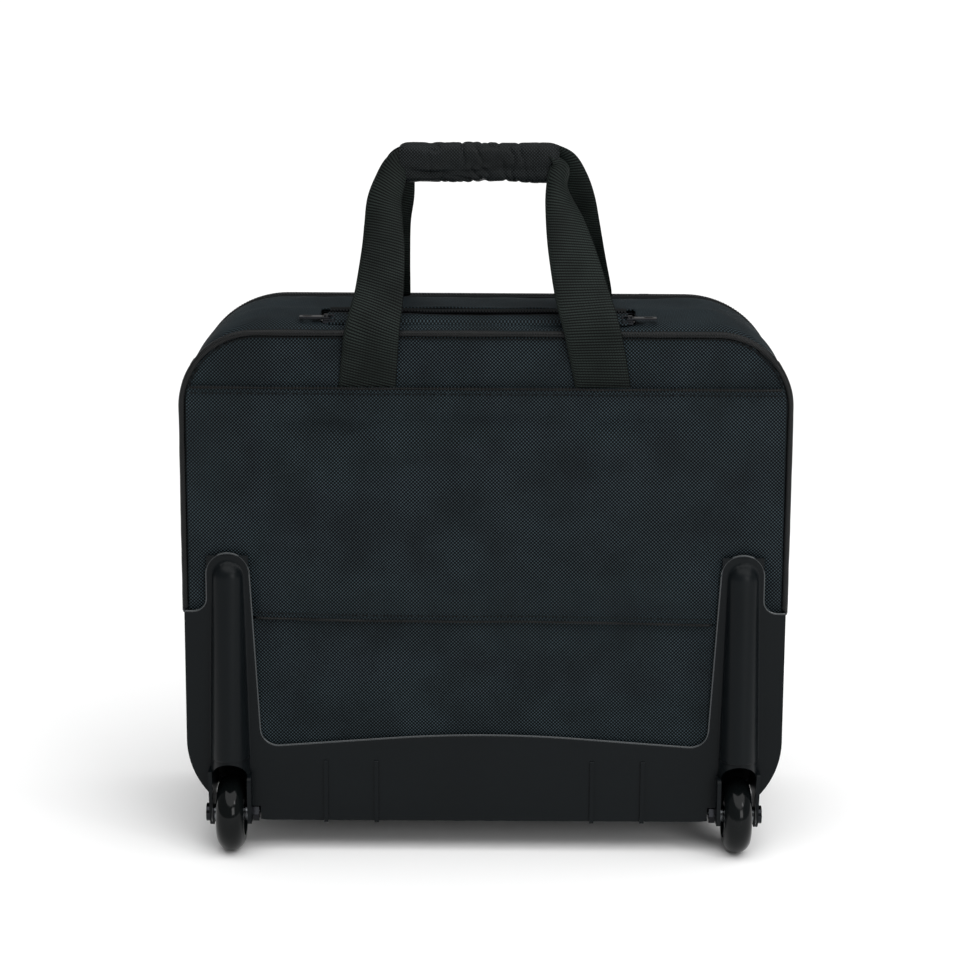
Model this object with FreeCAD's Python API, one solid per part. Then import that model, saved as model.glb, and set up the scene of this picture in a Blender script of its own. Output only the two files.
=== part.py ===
import FreeCAD, Part
import math
import os

# Rolling laptop case: a soft case on a moulded base with two wheels and a pull-out trolley handle.
# Millimetres, +Z up. The origin is on the floor, under the middle of the case.
# -Y is the back of the case, with the wheels, and +Y is the front, with the lid and its pocket.
# Each sub-part is written to parts/NODE.step.

V = FreeCAD.Vector
OUT = "parts"

# Case body ------------------------------------------------------------------------------------
back_y = -73.5          # outer face of the back panel
panel_t = 3.0           # back panel: fabric on foam
wall_t = 4.0            # gusset wall: fabric, foam and lining
gap = 0.3               # between sewn parts that only touch
body_z = 27.3           # underside of the fabric body
ring_front_y = 62.0     # front edge of the main compartment, at the main zip
lid_y = 62.6            # back face of the lid
front_y = 99.5          # front face of the pocket

# The body's outline along Y: (y, half width low, half width high, underside, top, low radius, top radius)
back_outline = (back_y, 212.8, 212.2, body_z, 381.0, 58.0, 50.0)
body_outlines = [
    (back_y + panel_t + 0.2, 212.8, 212.2, body_z, 381.0, 58.0, 50.0),
    (-59.0, 213.4, 214.6, body_z, 391.0, 58.0, 58.0),
    (-30.0, 214.0, 216.5, body_z, 396.0, 58.0, 66.0),
    (10.0, 214.0, 216.5, body_z, 397.0, 58.0, 70.0),
    (48.0, 214.0, 216.5, body_z, 390.0, 58.0, 66.0),
    (ring_front_y, 214.0, 216.5, body_z, 390.0, 58.0, 66.0),
]
zip_outline = body_outlines[-1]
front_outline = (front_y, 210.0, 212.0, 30.0, 378.0, 54.0, 52.0)

# Moulded base ---------------------------------------------------------------------------------
base_gap = 0.4          # between the base and the fabric
base_t = 3.0
base_out = base_gap + base_t
plate_y = back_y - 0.2  # inner face of the base's back plate
plate_t = 3.0
wing_z = 182.0          # top of the side wings
tower_x = 184.6         # centre of each wheel tower
tower_z = 225.0         # top of the tower
tower_r = 15.1
sill_z = 92.0           # the plate's upper edge at mid-width
sill_low_z = 80.0       # and beside the towers
sill_low_x = 162.0
rib_x = (78.5, 115.3)
rib_top_z = 70.0
rib_proud = 1.4
tray_front_y = 55.0

# Wheels ---------------------------------------------------------------------------------------
wheel_r = 28.0
wheel_w = 20.0
wheel_y = -71.5
well_half = 12.7        # half width of the slot that the wheel runs in
well_wall = 2.8
well_top_z = 72.0
well_front_y = -40.0
axle_r = 4.0
bearing_r = 9.0
bearing_w = 6.0

# Trolley --------------------------------------------------------------------------------------
trolley_x = -8.0        # middle of the trolley, between the carry handle's straps
tube_half = 28.0        # from the middle to each tube
tube_x = (trolley_x - tube_half, trolley_x + tube_half)
tube_y = -46.5
outer_tube = (20.0, 13.0, 1.2)      # across X, across Y, wall
mid_tube = (17.2, 10.2, 1.1)
inner_tube = (14.6, 7.6, 1.0)
outer_tube_z = (31.0, 346.0)
mid_tube_z = (36.0, 359.0)
inner_tube_z = (40.0, 366.0)
grip_half = 43.5
grip_depth = 23.0
grip_z = (361.8, 370.6, 381.5)      # underside, split line, top
button_size = (30.0, 11.0)
button_z = 383.0
link_half = 34.0
link_z = (371.6, 374.1)
grip_floor_z = 366.1
slot_x = (-118.0, 106.0)            # opening for the trolley, in the top of the gusset
slot_y = (-62.0, -31.0)

# Zip sliders ----------------------------------------------------------------------------------
pull_lift = 3.9         # from a slider's underside to its pull's pivot

# Webbing --------------------------------------------------------------------------------------
strap_w = 39.0
strap_foot_z = 347.0
wrap_x = (-61.0, 48.0)
wrap_y = (-33.0, -13.4)
wrap_z = (484.0, 513.0)


# Helpers --------------------------------------------------------------------------------------
def save(name, *shapes):
    """Writes one node. Several shapes stay separate solids of that node."""
    solids = [s for shape in shapes for s in shape.Solids]
    for s in solids:
        if not s.isValid() or s.Volume <= 0:
            print("NOT VALID", name, s.Volume)
    shape = solids[0] if len(solids) == 1 else Part.makeCompound(solids)
    shape.exportStep(os.path.join(OUT, name + ".step"))
    print(f"{name:22s} {len(solids)} solids {sum(s.Volume for s in solids) / 1000:9.2f} cm3")


def box(x, y, z):
    """A box from three (low, high) pairs."""
    return Part.makeBox(x[1] - x[0], y[1] - y[0], z[1] - z[0], V(x[0], y[0], z[0]))


def across(half, centre):
    """The low and high ends of a width about a centre."""
    return centre - half, centre + half


def bar(radius, start, end):
    """A round bar between two points."""
    a, b = V(*start), V(*end)
    return Part.makeCylinder(radius, (b - a).Length, a, b - a)


def in_xz(y):
    return lambda u, v: V(u, y, v)


def in_yz(x):
    return lambda u, v: V(x, u, v)


def in_xy(z):
    return lambda u, v: V(u, v, z)


def corner_points(before, corner, after):
    """The start, middle and end of the arc that rounds a corner (u, v, radius)."""
    p = FreeCAD.Vector(corner[0], corner[1], 0)
    a = (V(before[0], before[1], 0) - p).normalize()
    b = (V(after[0], after[1], 0) - p).normalize()
    half = a.getAngle(b) / 2
    reach = corner[2] / math.tan(half)
    centre = p + (a + b).normalize() * (corner[2] / math.sin(half))
    middle = centre + (p - centre).normalize() * corner[2]
    return p + a * reach, middle, p + b * reach


def rounded_wire(corners, place):
    """A closed wire through corners (u, v, radius), each rounded by a tangent arc."""
    arcs = []
    for i, c in enumerate(corners):
        if c[2] > 0:
            arcs.append(corner_points(corners[i - 1], c, corners[(i + 1) % len(corners)]))
        else:
            arcs.append((V(c[0], c[1], 0),))
    edges = []
    for i, arc in enumerate(arcs):
        if len(arc) == 3:
            edges.append(Part.Arc(*[place(p.x, p.y) for p in arc]).toShape())
        start, end = arc[-1], arcs[(i + 1) % len(arcs)][0]
        if (end - start).Length > 1e-6:
            edges.append(Part.makeLine(place(start.x, start.y), place(end.x, end.y)))
    return Part.Wire(edges)


def prism(wire, depth):
    """The face of a wire pushed along a vector."""
    return Part.Face(wire).extrude(V(*depth))


def outline_corners(o, off=0.0):
    y, low, high, z0, z1, r0, r1 = o
    return [
        (-low - off, z0 - off, r0 + off),
        (low + off, z0 - off, r0 + off),
        (high + off, z1 + off, r1 + off),
        (-high - off, z1 + off, r1 + off),
    ]


def outline_wire(o, off=0.0, y=None):
    return rounded_wire(outline_corners(o, off), in_xz(o[0] if y is None else y))


def body_loft(outlines, off=0.0):
    return Part.makeLoft([outline_wire(o, off) for o in outlines], True, True)


def outline_plate(o, y, depth, off=0.0):
    """A flat plate of the body's outline."""
    return prism(outline_wire(o, off, y), (0, depth, 0))


def longer(outlines, by=1.0):
    """The same outlines, run past both ends, to cut with."""
    first, last = outlines[0], outlines[-1]
    return [(first[0] - by, *first[1:]), *outlines, (last[0] + by, *last[1:])]


def rounded_box(x, y, z, r, axis="z"):
    """A box whose four edges along an axis are rounded."""
    if axis == "z":
        w = rounded_wire([(x[0], y[0], r), (x[1], y[0], r), (x[1], y[1], r), (x[0], y[1], r)], in_xy(z[0]))
        return prism(w, (0, 0, z[1] - z[0]))
    if axis == "y":
        w = rounded_wire([(x[0], z[0], r), (x[1], z[0], r), (x[1], z[1], r), (x[0], z[1], r)], in_xz(y[0]))
        return prism(w, (0, y[1] - y[0], 0))
    w = rounded_wire([(y[0], z[0], r), (y[1], z[0], r), (y[1], z[1], r), (y[0], z[1], r)], in_yz(x[0]))
    return prism(w, (x[1] - x[0], 0, 0))


def mirrored(shape):
    return shape.mirror(V(0, 0, 0), V(1, 0, 0))


def ribbon(sections):
    """Webbing through sections (centre, half width vector, half thickness vector)."""
    solids = []
    wires = []
    for centre, a, b in sections:
        c, a, b = V(*centre), V(*a), V(*b)
        wires.append(Part.makePolygon([c - a - b, c + a - b, c + a + b, c - a + b, c - a - b]))
    for first, second in zip(wires, wires[1:]):
        solids.append(Part.makeLoft([first, second], True, True))
    return solids[0].multiFuse(solids[1:]) if len(solids) > 1 else solids[0]


# Moulded base ---------------------------------------------------------------------------------
def well(half, y, z0, top_z):
    """The round-topped slot of a wheel well, as a solid, at the left tower."""
    x = (-tower_x - half, -tower_x + half)
    centre_z = top_z - half
    return box(x, y, (z0, centre_z)).fuse(bar(half, (-tower_x, y[0], centre_z), (-tower_x, y[1], centre_z)))


def tower_bulge():
    """The raised back of the left wheel tower, widest and deepest at the wheel."""
    foot_z, dome_z, end_z = 26.0, 207.0, 218.0
    start_y = plate_y - 1.0
    wires = []
    for z in [foot_z, dome_z] + [dome_z + (end_z - dome_z) * t for t in (0.35, 0.6, 0.8, 0.93, 0.99)]:
        t = (min(z, dome_z) - foot_z) / (dome_z - foot_z)
        fall = math.sqrt(1 - (max(z - dome_z, 0) / (end_z - dome_z)) ** 2)
        half = (15.0 + (11.0 - 15.0) * t) * fall
        proud = (25.0 + (7.0 - 25.0) * t) * fall
        centre = V(-tower_x, start_y, z)
        left, right = centre + V(-half, 0, 0), centre + V(half, 0, 0)
        if proud > half:
            oval = Part.Ellipse(centre + V(0, -proud, 0), centre + V(-half, 0, 0), centre)
        else:
            oval = Part.Ellipse(centre + V(-half, 0, 0), centre + V(0, -proud, 0), centre)
        ends = sorted([oval.parameter(left), oval.parameter(right)])
        arc = Part.ArcOfEllipse(oval, ends[0], ends[1])
        if arc.value((ends[0] + ends[1]) / 2).y > start_y:
            arc = Part.ArcOfEllipse(oval, ends[1], ends[0] + 2 * math.pi)
        edge = arc.toShape()
        first, last = arc.value(arc.FirstParameter), arc.value(arc.LastParameter)
        wires.append(Part.Wire([edge, Part.makeLine(last, first)]))
    return Part.makeLoft(wires, True, True)


def plate_corners():
    """The outline of the base's back plate, above the floor of the tray."""
    right = [
        (0.0, sill_z, 900.0),
        (sill_low_x, sill_low_z, 13.0),
        (tower_x - tower_r - 0.2, tower_z - 12, 0.0),
        (tower_x - tower_r, tower_z, tower_r - 0.2),
        (tower_x + tower_r, tower_z, tower_r - 0.2),
        (tower_x + tower_r, wing_z, 10.0),
        (235.0, wing_z, 0.0),
        (235.0, 0.0, 0.0),
    ]
    return right + [(-x, z, r) for x, z, r in reversed(right[1:])]


def base_shell():
    skin = body_loft([(plate_y, *back_outline[1:])] + body_outlines, base_out)
    inside = body_loft(longer([(plate_y, *back_outline[1:])] + body_outlines), base_gap)
    side = rounded_wire(
        [
            (plate_y, 0.0, 0.0),
            (plate_y, wing_z, 0.0),
            (-50.0, wing_z, 14.0),
            (-34.0, 128.0, 40.0),
            (-26.0, 52.0, 22.0),
            (tray_front_y, 40.0, 8.0),
            (tray_front_y, 0.0, 0.0),
        ],
        in_yz(-260.0),
    )
    wrap = skin.cut(inside).common(prism(side, (520.0, 0, 0)))
    plate = prism(rounded_wire(plate_corners(), in_xz(plate_y)), (0, -plate_t, 0))
    plate = plate.common(outline_plate(back_outline, plate_y, -plate_t, base_out))
    shell = wrap.fuse(plate)

    depth = (plate_y - plate_t, well_front_y + well_wall)
    outer = well(well_half + well_wall, depth, 20.0, well_top_z + well_wall)
    outer = outer.common(skin.fuse(outline_plate(back_outline, plate_y + 0.5, -plate_t - 0.5, base_out)))
    cheek_x = (-tower_x + well_half, -tower_x + well_half + well_wall)
    cheek = rounded_box(cheek_x, (wheel_y - 17.5, wheel_y + 26), (24.0, 60.0), 4.0, "x")
    ear_x = (-tower_x - well_half - well_wall, -tower_x - well_half)
    ear = prism(
        rounded_wire(
            [
                (wheel_y - 17.0, 64.0, 1.0),
                (wheel_y - 8.5, 19.5, 8.0),
                (wheel_y + 8.5, 19.5, 8.0),
                (wheel_y + 24.0, 64.0, 1.0),
            ],
            in_yz(ear_x[0]),
        ),
        (well_wall, 0, 0),
    )
    left = [outer, tower_bulge(), cheek, ear]
    shell = shell.multiFuse(left + [mirrored(s) for s in left])
    slot = well(well_half, (plate_y - 40.0, well_front_y), -10.0, well_top_z)
    rib_y = (plate_y - plate_t - rib_proud, plate_y)
    rib_z = (body_z - base_out - rib_proud, rib_top_z)
    ribs = [rounded_box(across(1.5, side * x), rib_y, rib_z, 1.2, "x") for side in (-1, 1) for x in rib_x]
    shell = shell.multiFuse(ribs)
    holes = bar(axle_r + 0.05, (-260.0, wheel_y, wheel_r), (260.0, wheel_y, wheel_r))
    for taken in (slot, mirrored(slot), nut_room(), mirrored(nut_room()), holes):
        shell = shell.cut(taken)
    return shell


def nut_room():
    """Room for the left axle's nut and for the end of its bolt."""
    x = -tower_x + well_half + well_wall
    return bar(8.4, (x, wheel_y, wheel_r), (x + 6.0, wheel_y, wheel_r))


def well_tool():
    """What the wheel wells and the nuts take out of the parts behind them."""
    spare = well_wall + gap
    one = well(well_half + spare, (plate_y - 40.0, well_front_y + spare), -10.0, well_top_z + spare)
    one = one.fuse(nut_room())
    return one.fuse(mirrored(one))


def feet():
    blocks, screws = [], []
    top = body_z - base_out
    for x in (-150.0, 150.0):
        block = rounded_box((x - 17, x + 17), (30.0, 52.0), (0.0, top), 8.0)
        hole = bar(2.1, (x, 41.0, 7.0), (x, 41.0, top + 1)).fuse(bar(4.4, (x, 41.0, -1.0), (x, 41.0, 7.0)))
        blocks.append(block.cut(hole))
        screws.append(bar(4.0, (x, 41.0, 4.6), (x, 41.0, 7.0)).fuse(bar(1.9, (x, 41.0, 7.0), (x, 41.0, top))))
    return blocks, screws


# Wheels ---------------------------------------------------------------------------------------
def revolved(profile, x):
    """A profile of (along the axle, radius) points turned about the axle at x."""
    points = [V(x + u, wheel_y, wheel_r + r) for u, r in profile]
    wire = Part.makePolygon(points + [points[0]])
    return Part.Face(wire).revolve(V(x, wheel_y, wheel_r), V(1, 0, 0), 360)


def tyre(x):
    """A full-round tread, like a skate wheel's, on a cylindrical seat."""
    half, seat, shoulder = wheel_w / 2, 17.0, 20.5
    left, right = V(x - half, wheel_y, wheel_r + shoulder), V(x + half, wheel_y, wheel_r + shoulder)
    tread = Part.Arc(left, V(x, wheel_y, wheel_r + wheel_r), right).toShape()
    low_left, low_right = V(x - half, wheel_y, wheel_r + seat), V(x + half, wheel_y, wheel_r + seat)
    corners = [right, low_right, low_left, left]
    rest = [Part.makeLine(a, b) for a, b in zip(corners, corners[1:])]
    return Part.Face(Part.Wire([tread] + rest)).revolve(V(x, wheel_y, wheel_r), V(1, 0, 0), 360)


def hub(x):
    """The wheel's core: a rim and a boss for two bearings, joined by a web with five windows."""
    rim = [(-9.2, 14.5), (9.2, 14.5), (9.2, 17.0), (-9.2, 17.0)]
    web = [(-2.2, 11.0), (2.2, 11.0), (2.2, 15.0), (-2.2, 15.0)]
    boss = [(-8.2, bearing_r), (-8.2, 11.4), (8.2, 11.4), (8.2, bearing_r), (1.6, bearing_r), (1.6, 7.0),
            (-1.6, 7.0), (-1.6, bearing_r)]
    core = revolved(rim, x).multiFuse([revolved(web, x), revolved(boss, x)])
    for k in range(5):
        a = 2 * math.pi * k / 5
        y, z = wheel_y + 13.0 * math.cos(a), wheel_r + 13.0 * math.sin(a)
        core = core.cut(bar(1.4, (x - 4, y, z), (x + 4, y, z)))
    return core


def bearing(x, side):
    start = x + side * 1.7
    return bar(bearing_r - 0.02, (start, wheel_y, wheel_r), (start + side * bearing_w, wheel_y, wheel_r)).cut(
        bar(axle_r + 0.05, (x - 20, wheel_y, wheel_r), (x + 20, wheel_y, wheel_r))
    )


def axle(x):
    """One axle, its nut and its four washers, for the left wheel; the head is on the outside."""
    out = x - well_half - well_wall
    inn = x + well_half + well_wall
    head = bar(6.6, (out - 3.0, wheel_y, wheel_r), (out - 0.05, wheel_y, wheel_r))
    shank = bar(axle_r, (out - 0.1, wheel_y, wheel_r), (inn + 5.0, wheel_y, wheel_r))
    bolt = head.fuse(shank)
    nut = prism(
        rounded_wire(
            [(wheel_y + 6.6 * math.cos(k * math.pi / 3), wheel_r + 6.6 * math.sin(k * math.pi / 3), 0.6)
             for k in range(6)],
            in_yz(inn + 0.05),
        ),
        (4.5, 0, 0),
    ).cut(shank)
    washers = []
    for low, high in ((out + well_wall + 0.05, x - 7.75), (x + 7.75, inn - well_wall - 0.05)):
        ring = bar(6.0, (low, wheel_y, wheel_r), (high, wheel_y, wheel_r))
        hole = bar(axle_r + 0.04, (low - 1, wheel_y, wheel_r), (high + 1, wheel_y, wheel_r))
        washers.append(ring.cut(hole))
    return bolt, nut, washers


# Trolley --------------------------------------------------------------------------------------
def tube(size, x, z, extra=0.0, solid=False):
    """A flat-oval tube standing at x. extra grows it all round."""
    half_x, half_y, wall = size[0] / 2 + extra, size[1] / 2 + extra, size[2]
    outer = rounded_box(across(half_x, x), across(half_y, tube_y), z, 3.4)
    if solid:
        return outer
    bore_z = (z[0] - 1, z[1] + 1)
    return outer.cut(rounded_box(across(half_x - wall, x), across(half_y - wall, tube_y), bore_z, 2.4))


def both(make):
    return [make(x) for x in tube_x]


def tube_socket(x):
    """The moulded socket that stands on the base and holds an outer tube's foot."""
    z = (body_z - base_gap + 0.05, 56.0)
    block = rounded_box((x - 15, x + 15), (tube_y - 11, tube_y + 11), z, 4.0)
    return block.cut(tube(outer_tube, x, (outer_tube_z[0], 60.0), solid=True))


def tube_guide(x):
    """The guide bush on top of an outer tube."""
    outer = rounded_box((x - 12.5, x + 12.5), (tube_y - 8.5, tube_y + 8.5), (outer_tube_z[1], 354.0), 4.0)
    return outer.cut(tube(mid_tube, x, (300.0, 380.0), 0.2, True))


def mid_collar(x):
    outer = rounded_box((x - 11.5, x + 11.5), (tube_y - 8, tube_y + 8), (354.4, 361.2), 4.0)
    outer = outer.cut(tube(mid_tube, x, (300.0, mid_tube_z[1]), solid=True))
    return outer.cut(tube(inner_tube, x, (300.0, 380.0), 0.2, True))


def grip_block(z):
    return rounded_box(across(grip_half, trolley_x), across(grip_depth / 2, tube_y), z, 10.0)


def grip_cavity():
    return box(across(link_half + 3.0, trolley_x), across(5.0, tube_y), (grip_floor_z, 377.5))


def grip_base():
    low, split, top = grip_z
    block = grip_block((low, split))
    edges = [e for e in block.Edges if abs(e.BoundBox.ZMax - low) < 1e-3]
    block = block.makeFillet(3.5, edges)
    block = block.cut(grip_cavity())
    for x in tube_x:
        block = block.cut(tube(inner_tube, x, (low - 1, grip_floor_z), solid=True))
    return block


def grip_cover():
    low, split, top = grip_z
    block = grip_block((split + 0.05, top))
    edges = [e for e in block.Edges if abs(e.BoundBox.ZMin - top) < 1e-3]
    block = block.makeFillet(4.5, edges)
    block = block.cut(grip_cavity())
    room_x, room_y = across(button_size[0] / 2 + 0.3, trolley_x), across(button_size[1] / 2 + 0.3, tube_y)
    return block.cut(rounded_box(room_x, room_y, (split - 1, top + 9), 4.0))


def button():
    x, y = across(button_size[0] / 2, trolley_x), across(button_size[1] / 2, tube_y)
    block = rounded_box(x, y, (link_z[1] + 0.1, button_z), 3.7)
    edges = [e for e in block.Edges if abs(e.BoundBox.ZMin - button_z) < 1e-3]
    return block.makeFillet(1.2, edges)


def button_spring():
    """A coil spring between the grip's floor and the link bar."""
    wire_r, coil_r, pitch = 0.45, 3.0, 1.6
    height = link_z[0] - grip_floor_z - 2 * wire_r - 0.2
    path = Part.makeHelix(pitch, height, coil_r)
    circle = Part.Wire([Part.Circle(V(coil_r, 0, 0), V(0, 1, 0), wire_r).toShape()])
    coil = Part.Wire(path).makePipeShell([circle], True, True)
    coil.translate(V(trolley_x, tube_y, grip_floor_z + wire_r + 0.1))
    return coil


# Zips -----------------------------------------------------------------------------------------
def slider():
    """A slider lying in XY with its underside at z 0, its length along X and a bridge over it."""
    plate = rounded_box((-5.5, 5.5), (-4.0, 4.0), (0.0, 1.6), 2.4)
    top = rounded_box((-4.7, 4.7), (-2.8, 2.8), (1.4, 2.8), 1.8)
    bridge = box((-3.6, 3.6), (-1.0, 1.0), (2.6, 5.9)).cut(box((-2.4, 2.4), (-2.0, 2.0), (2.8, 5.1)))
    return plate.multiFuse([top, bridge])


def pull(length):
    """A pull tab lying along +X from its pivot at the origin, with an eye for the bridge."""
    tab = rounded_box((-0.6, length), (-3.5, 3.5), (-0.6, 0.6), 0.4)
    window = rounded_box((length - 9.0, length - 2.2), (-1.8, 1.8), (-3, 3), 1.5)
    return tab.cut(box((0.6, 5.2), (-1.4, 1.4), (-3, 3))).cut(window)


def put(shape, turns, place):
    """Turns a shape about axes through the origin, in order, and then moves it."""
    for axis, degrees in turns:
        shape.rotate(V(0, 0, 0), V(*axis), degrees)
    shape.translate(V(*place))
    return shape


def side_x(z, o=zip_outline):
    """The half width of an outline's slanted side at height z."""
    return o[1] + (o[2] - o[1]) * (z - o[3]) / (o[4] - o[3])


def zip_band(y, off, z_from):
    """A zip's tape: a band round the outline's sides and top, from z_from upward."""
    ring = outline_plate(zip_outline, y[0], y[1] - y[0], off[1])
    ring = ring.cut(outline_plate(zip_outline, y[0] - 1, y[1] - y[0] + 2, off[0]))
    return ring.common(box((-300.0, 300.0), (y[0] - 1, y[1] + 1), (z_from, 500.0)))


# Carry handle ---------------------------------------------------------------------------------
def strap(side, sections):
    """Rows of (x, y, z, half width, half thickness, twist): a strap that gathers towards the grip."""
    return ribbon([
        ((x, y, z), (half, 0, side * twist), (0, thick, 0)) for x, y, z, half, thick, twist in sections
    ])


def rear_webbing():
    left = strap(-1, [
        (-80.6, -76.6, 385.0, 19.5, 1.1, 0.0),
        (-76.0, -66.0, 410.0, 17.5, 1.3, 0.0),
        (-73.4, -50.0, 452.0, 14.6, 2.2, 0.0),
        (-73.0, -37.0, 478.0, 12.0, 3.6, 2.0),
        (-62.0, -27.0, 498.5, 4.0, 4.6, 11.5),
    ])
    right = strap(1, [
        (74.8, -76.6, 385.0, 19.5, 1.1, 0.0),
        (66.9, -66.0, 411.0, 18.5, 1.3, 0.0),
        (56.5, -50.0, 452.0, 15.6, 2.2, 0.0),
        (51.6, -37.0, 480.0, 10.5, 3.6, 2.0),
        (49.6, -27.0, 498.5, 4.0, 4.6, 11.5),
    ])
    beyond_wrap = [
        box((-200.0, wrap_x[0] - 0.05), (-200.0, 200.0), (0.0, 600.0)),
        box((wrap_x[1] + 0.05, 200.0), (-200.0, 200.0), (0.0, 600.0)),
    ]
    return [left.common(beyond_wrap[0]), right.common(beyond_wrap[1])]


def front_webbing():
    left = strap(-1, [
        (-76.0, 34.5, 395.8, 19.5, 1.1, 0.0),
        (-73.0, 18.0, 430.0, 17.0, 1.3, 0.0),
        (-69.0, 2.0, 462.0, 14.5, 2.2, 0.0),
        (-66.0, -6.0, 482.0, 11.0, 2.4, 2.0),
        (-62.6, -10.6, 498.0, 3.0, 2.0, 11.0),
    ])
    right = strap(1, [
        (73.5, 34.5, 395.8, 19.5, 1.1, 0.0),
        (68.0, 18.0, 430.0, 17.0, 1.3, 0.0),
        (62.5, 2.0, 462.0, 14.5, 2.2, 0.0),
        (57.0, -6.0, 482.0, 11.0, 2.4, 2.0),
        (49.6, -10.6, 498.0, 3.0, 2.0, 11.0),
    ])
    held = box((wrap_x[0] - 3.0, wrap_x[1] + 3.0), (-12.6, -8.6), (487.0, 509.0))
    return left.multiFuse([right, held])


def rear_tab(foot_x, top_x):
    """The sewn-down end of a rear strap, which rises over the piping."""
    return ribbon([
        ((foot_x, -74.7, strap_foot_z), (strap_w / 2, 0, 0), (0, 0.8, 0)),
        ((foot_x + (top_x - foot_x) * 0.7, -75.2, 372.0), (strap_w / 2, 0, 0), (0, 0.8, 0)),
        ((top_x, -76.6, 381.4), (strap_w / 2, 0, 0), (0, 0.8, 0)),
    ])


def front_tab(x):
    """The sewn-down end of a front strap, on the sloping top."""
    return ribbon([
        ((x, 38.0, 393.0), (strap_w / 2, 0, 0), (0, 0, 0.8)),
        ((x, 50.0, 391.1), (strap_w / 2, 0, 0), (0, 0, 0.8)),
    ])


# D-rings --------------------------------------------------------------------------------------
ring_y = 30.0
ring_z = 306.0
ring_wire = 1.9
ring_stand = 4.6        # from the gusset to the middle of the ring's wire


def ring_x():
    return side_x(ring_z, body_outlines[3]) + ring_stand


def dring_tab():
    """The right webbing tab, folded round the ring's bar and sewn to the gusset."""
    x, half = ring_x(), 12.0
    lean = side_x(345.0, body_outlines[3]) - side_x(ring_z, body_outlines[3])
    loop = bar(ring_wire + 2.0, (x, ring_y - half, ring_z), (x, ring_y + half, ring_z))
    plate = ribbon([
        ((x - 2.7, ring_y, ring_z), (0, half, 0), (1.2, 0, 0)),
        ((x - 2.9 + lean, ring_y, 345.0), (0, half, 0), (1.2, 0, 0)),
    ])
    tab = loop.fuse(plate).cut(bar(ring_wire + 0.35, (x, ring_y - 20, ring_z), (x, ring_y + 20, ring_z)))
    return tab.cut(body_loft(longer(body_outlines), 0.1))


def dring():
    """The right ring, hanging from its bar."""
    x = ring_x()
    corners = [(ring_y - 16, ring_z, 3.0), (ring_y + 16, ring_z, 3.0), (ring_y + 16, ring_z - 34, 15.8),
               (ring_y - 16, ring_z - 34, 15.8)]
    path = rounded_wire(corners, in_yz(x))
    start = path.Edges[0].valueAt(path.Edges[0].FirstParameter)
    direction = path.Edges[0].tangentAt(path.Edges[0].FirstParameter)
    circle = Part.Wire([Part.Circle(start, direction, ring_wire).toShape()])
    return path.makePipeShell([circle], True, True)


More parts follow.
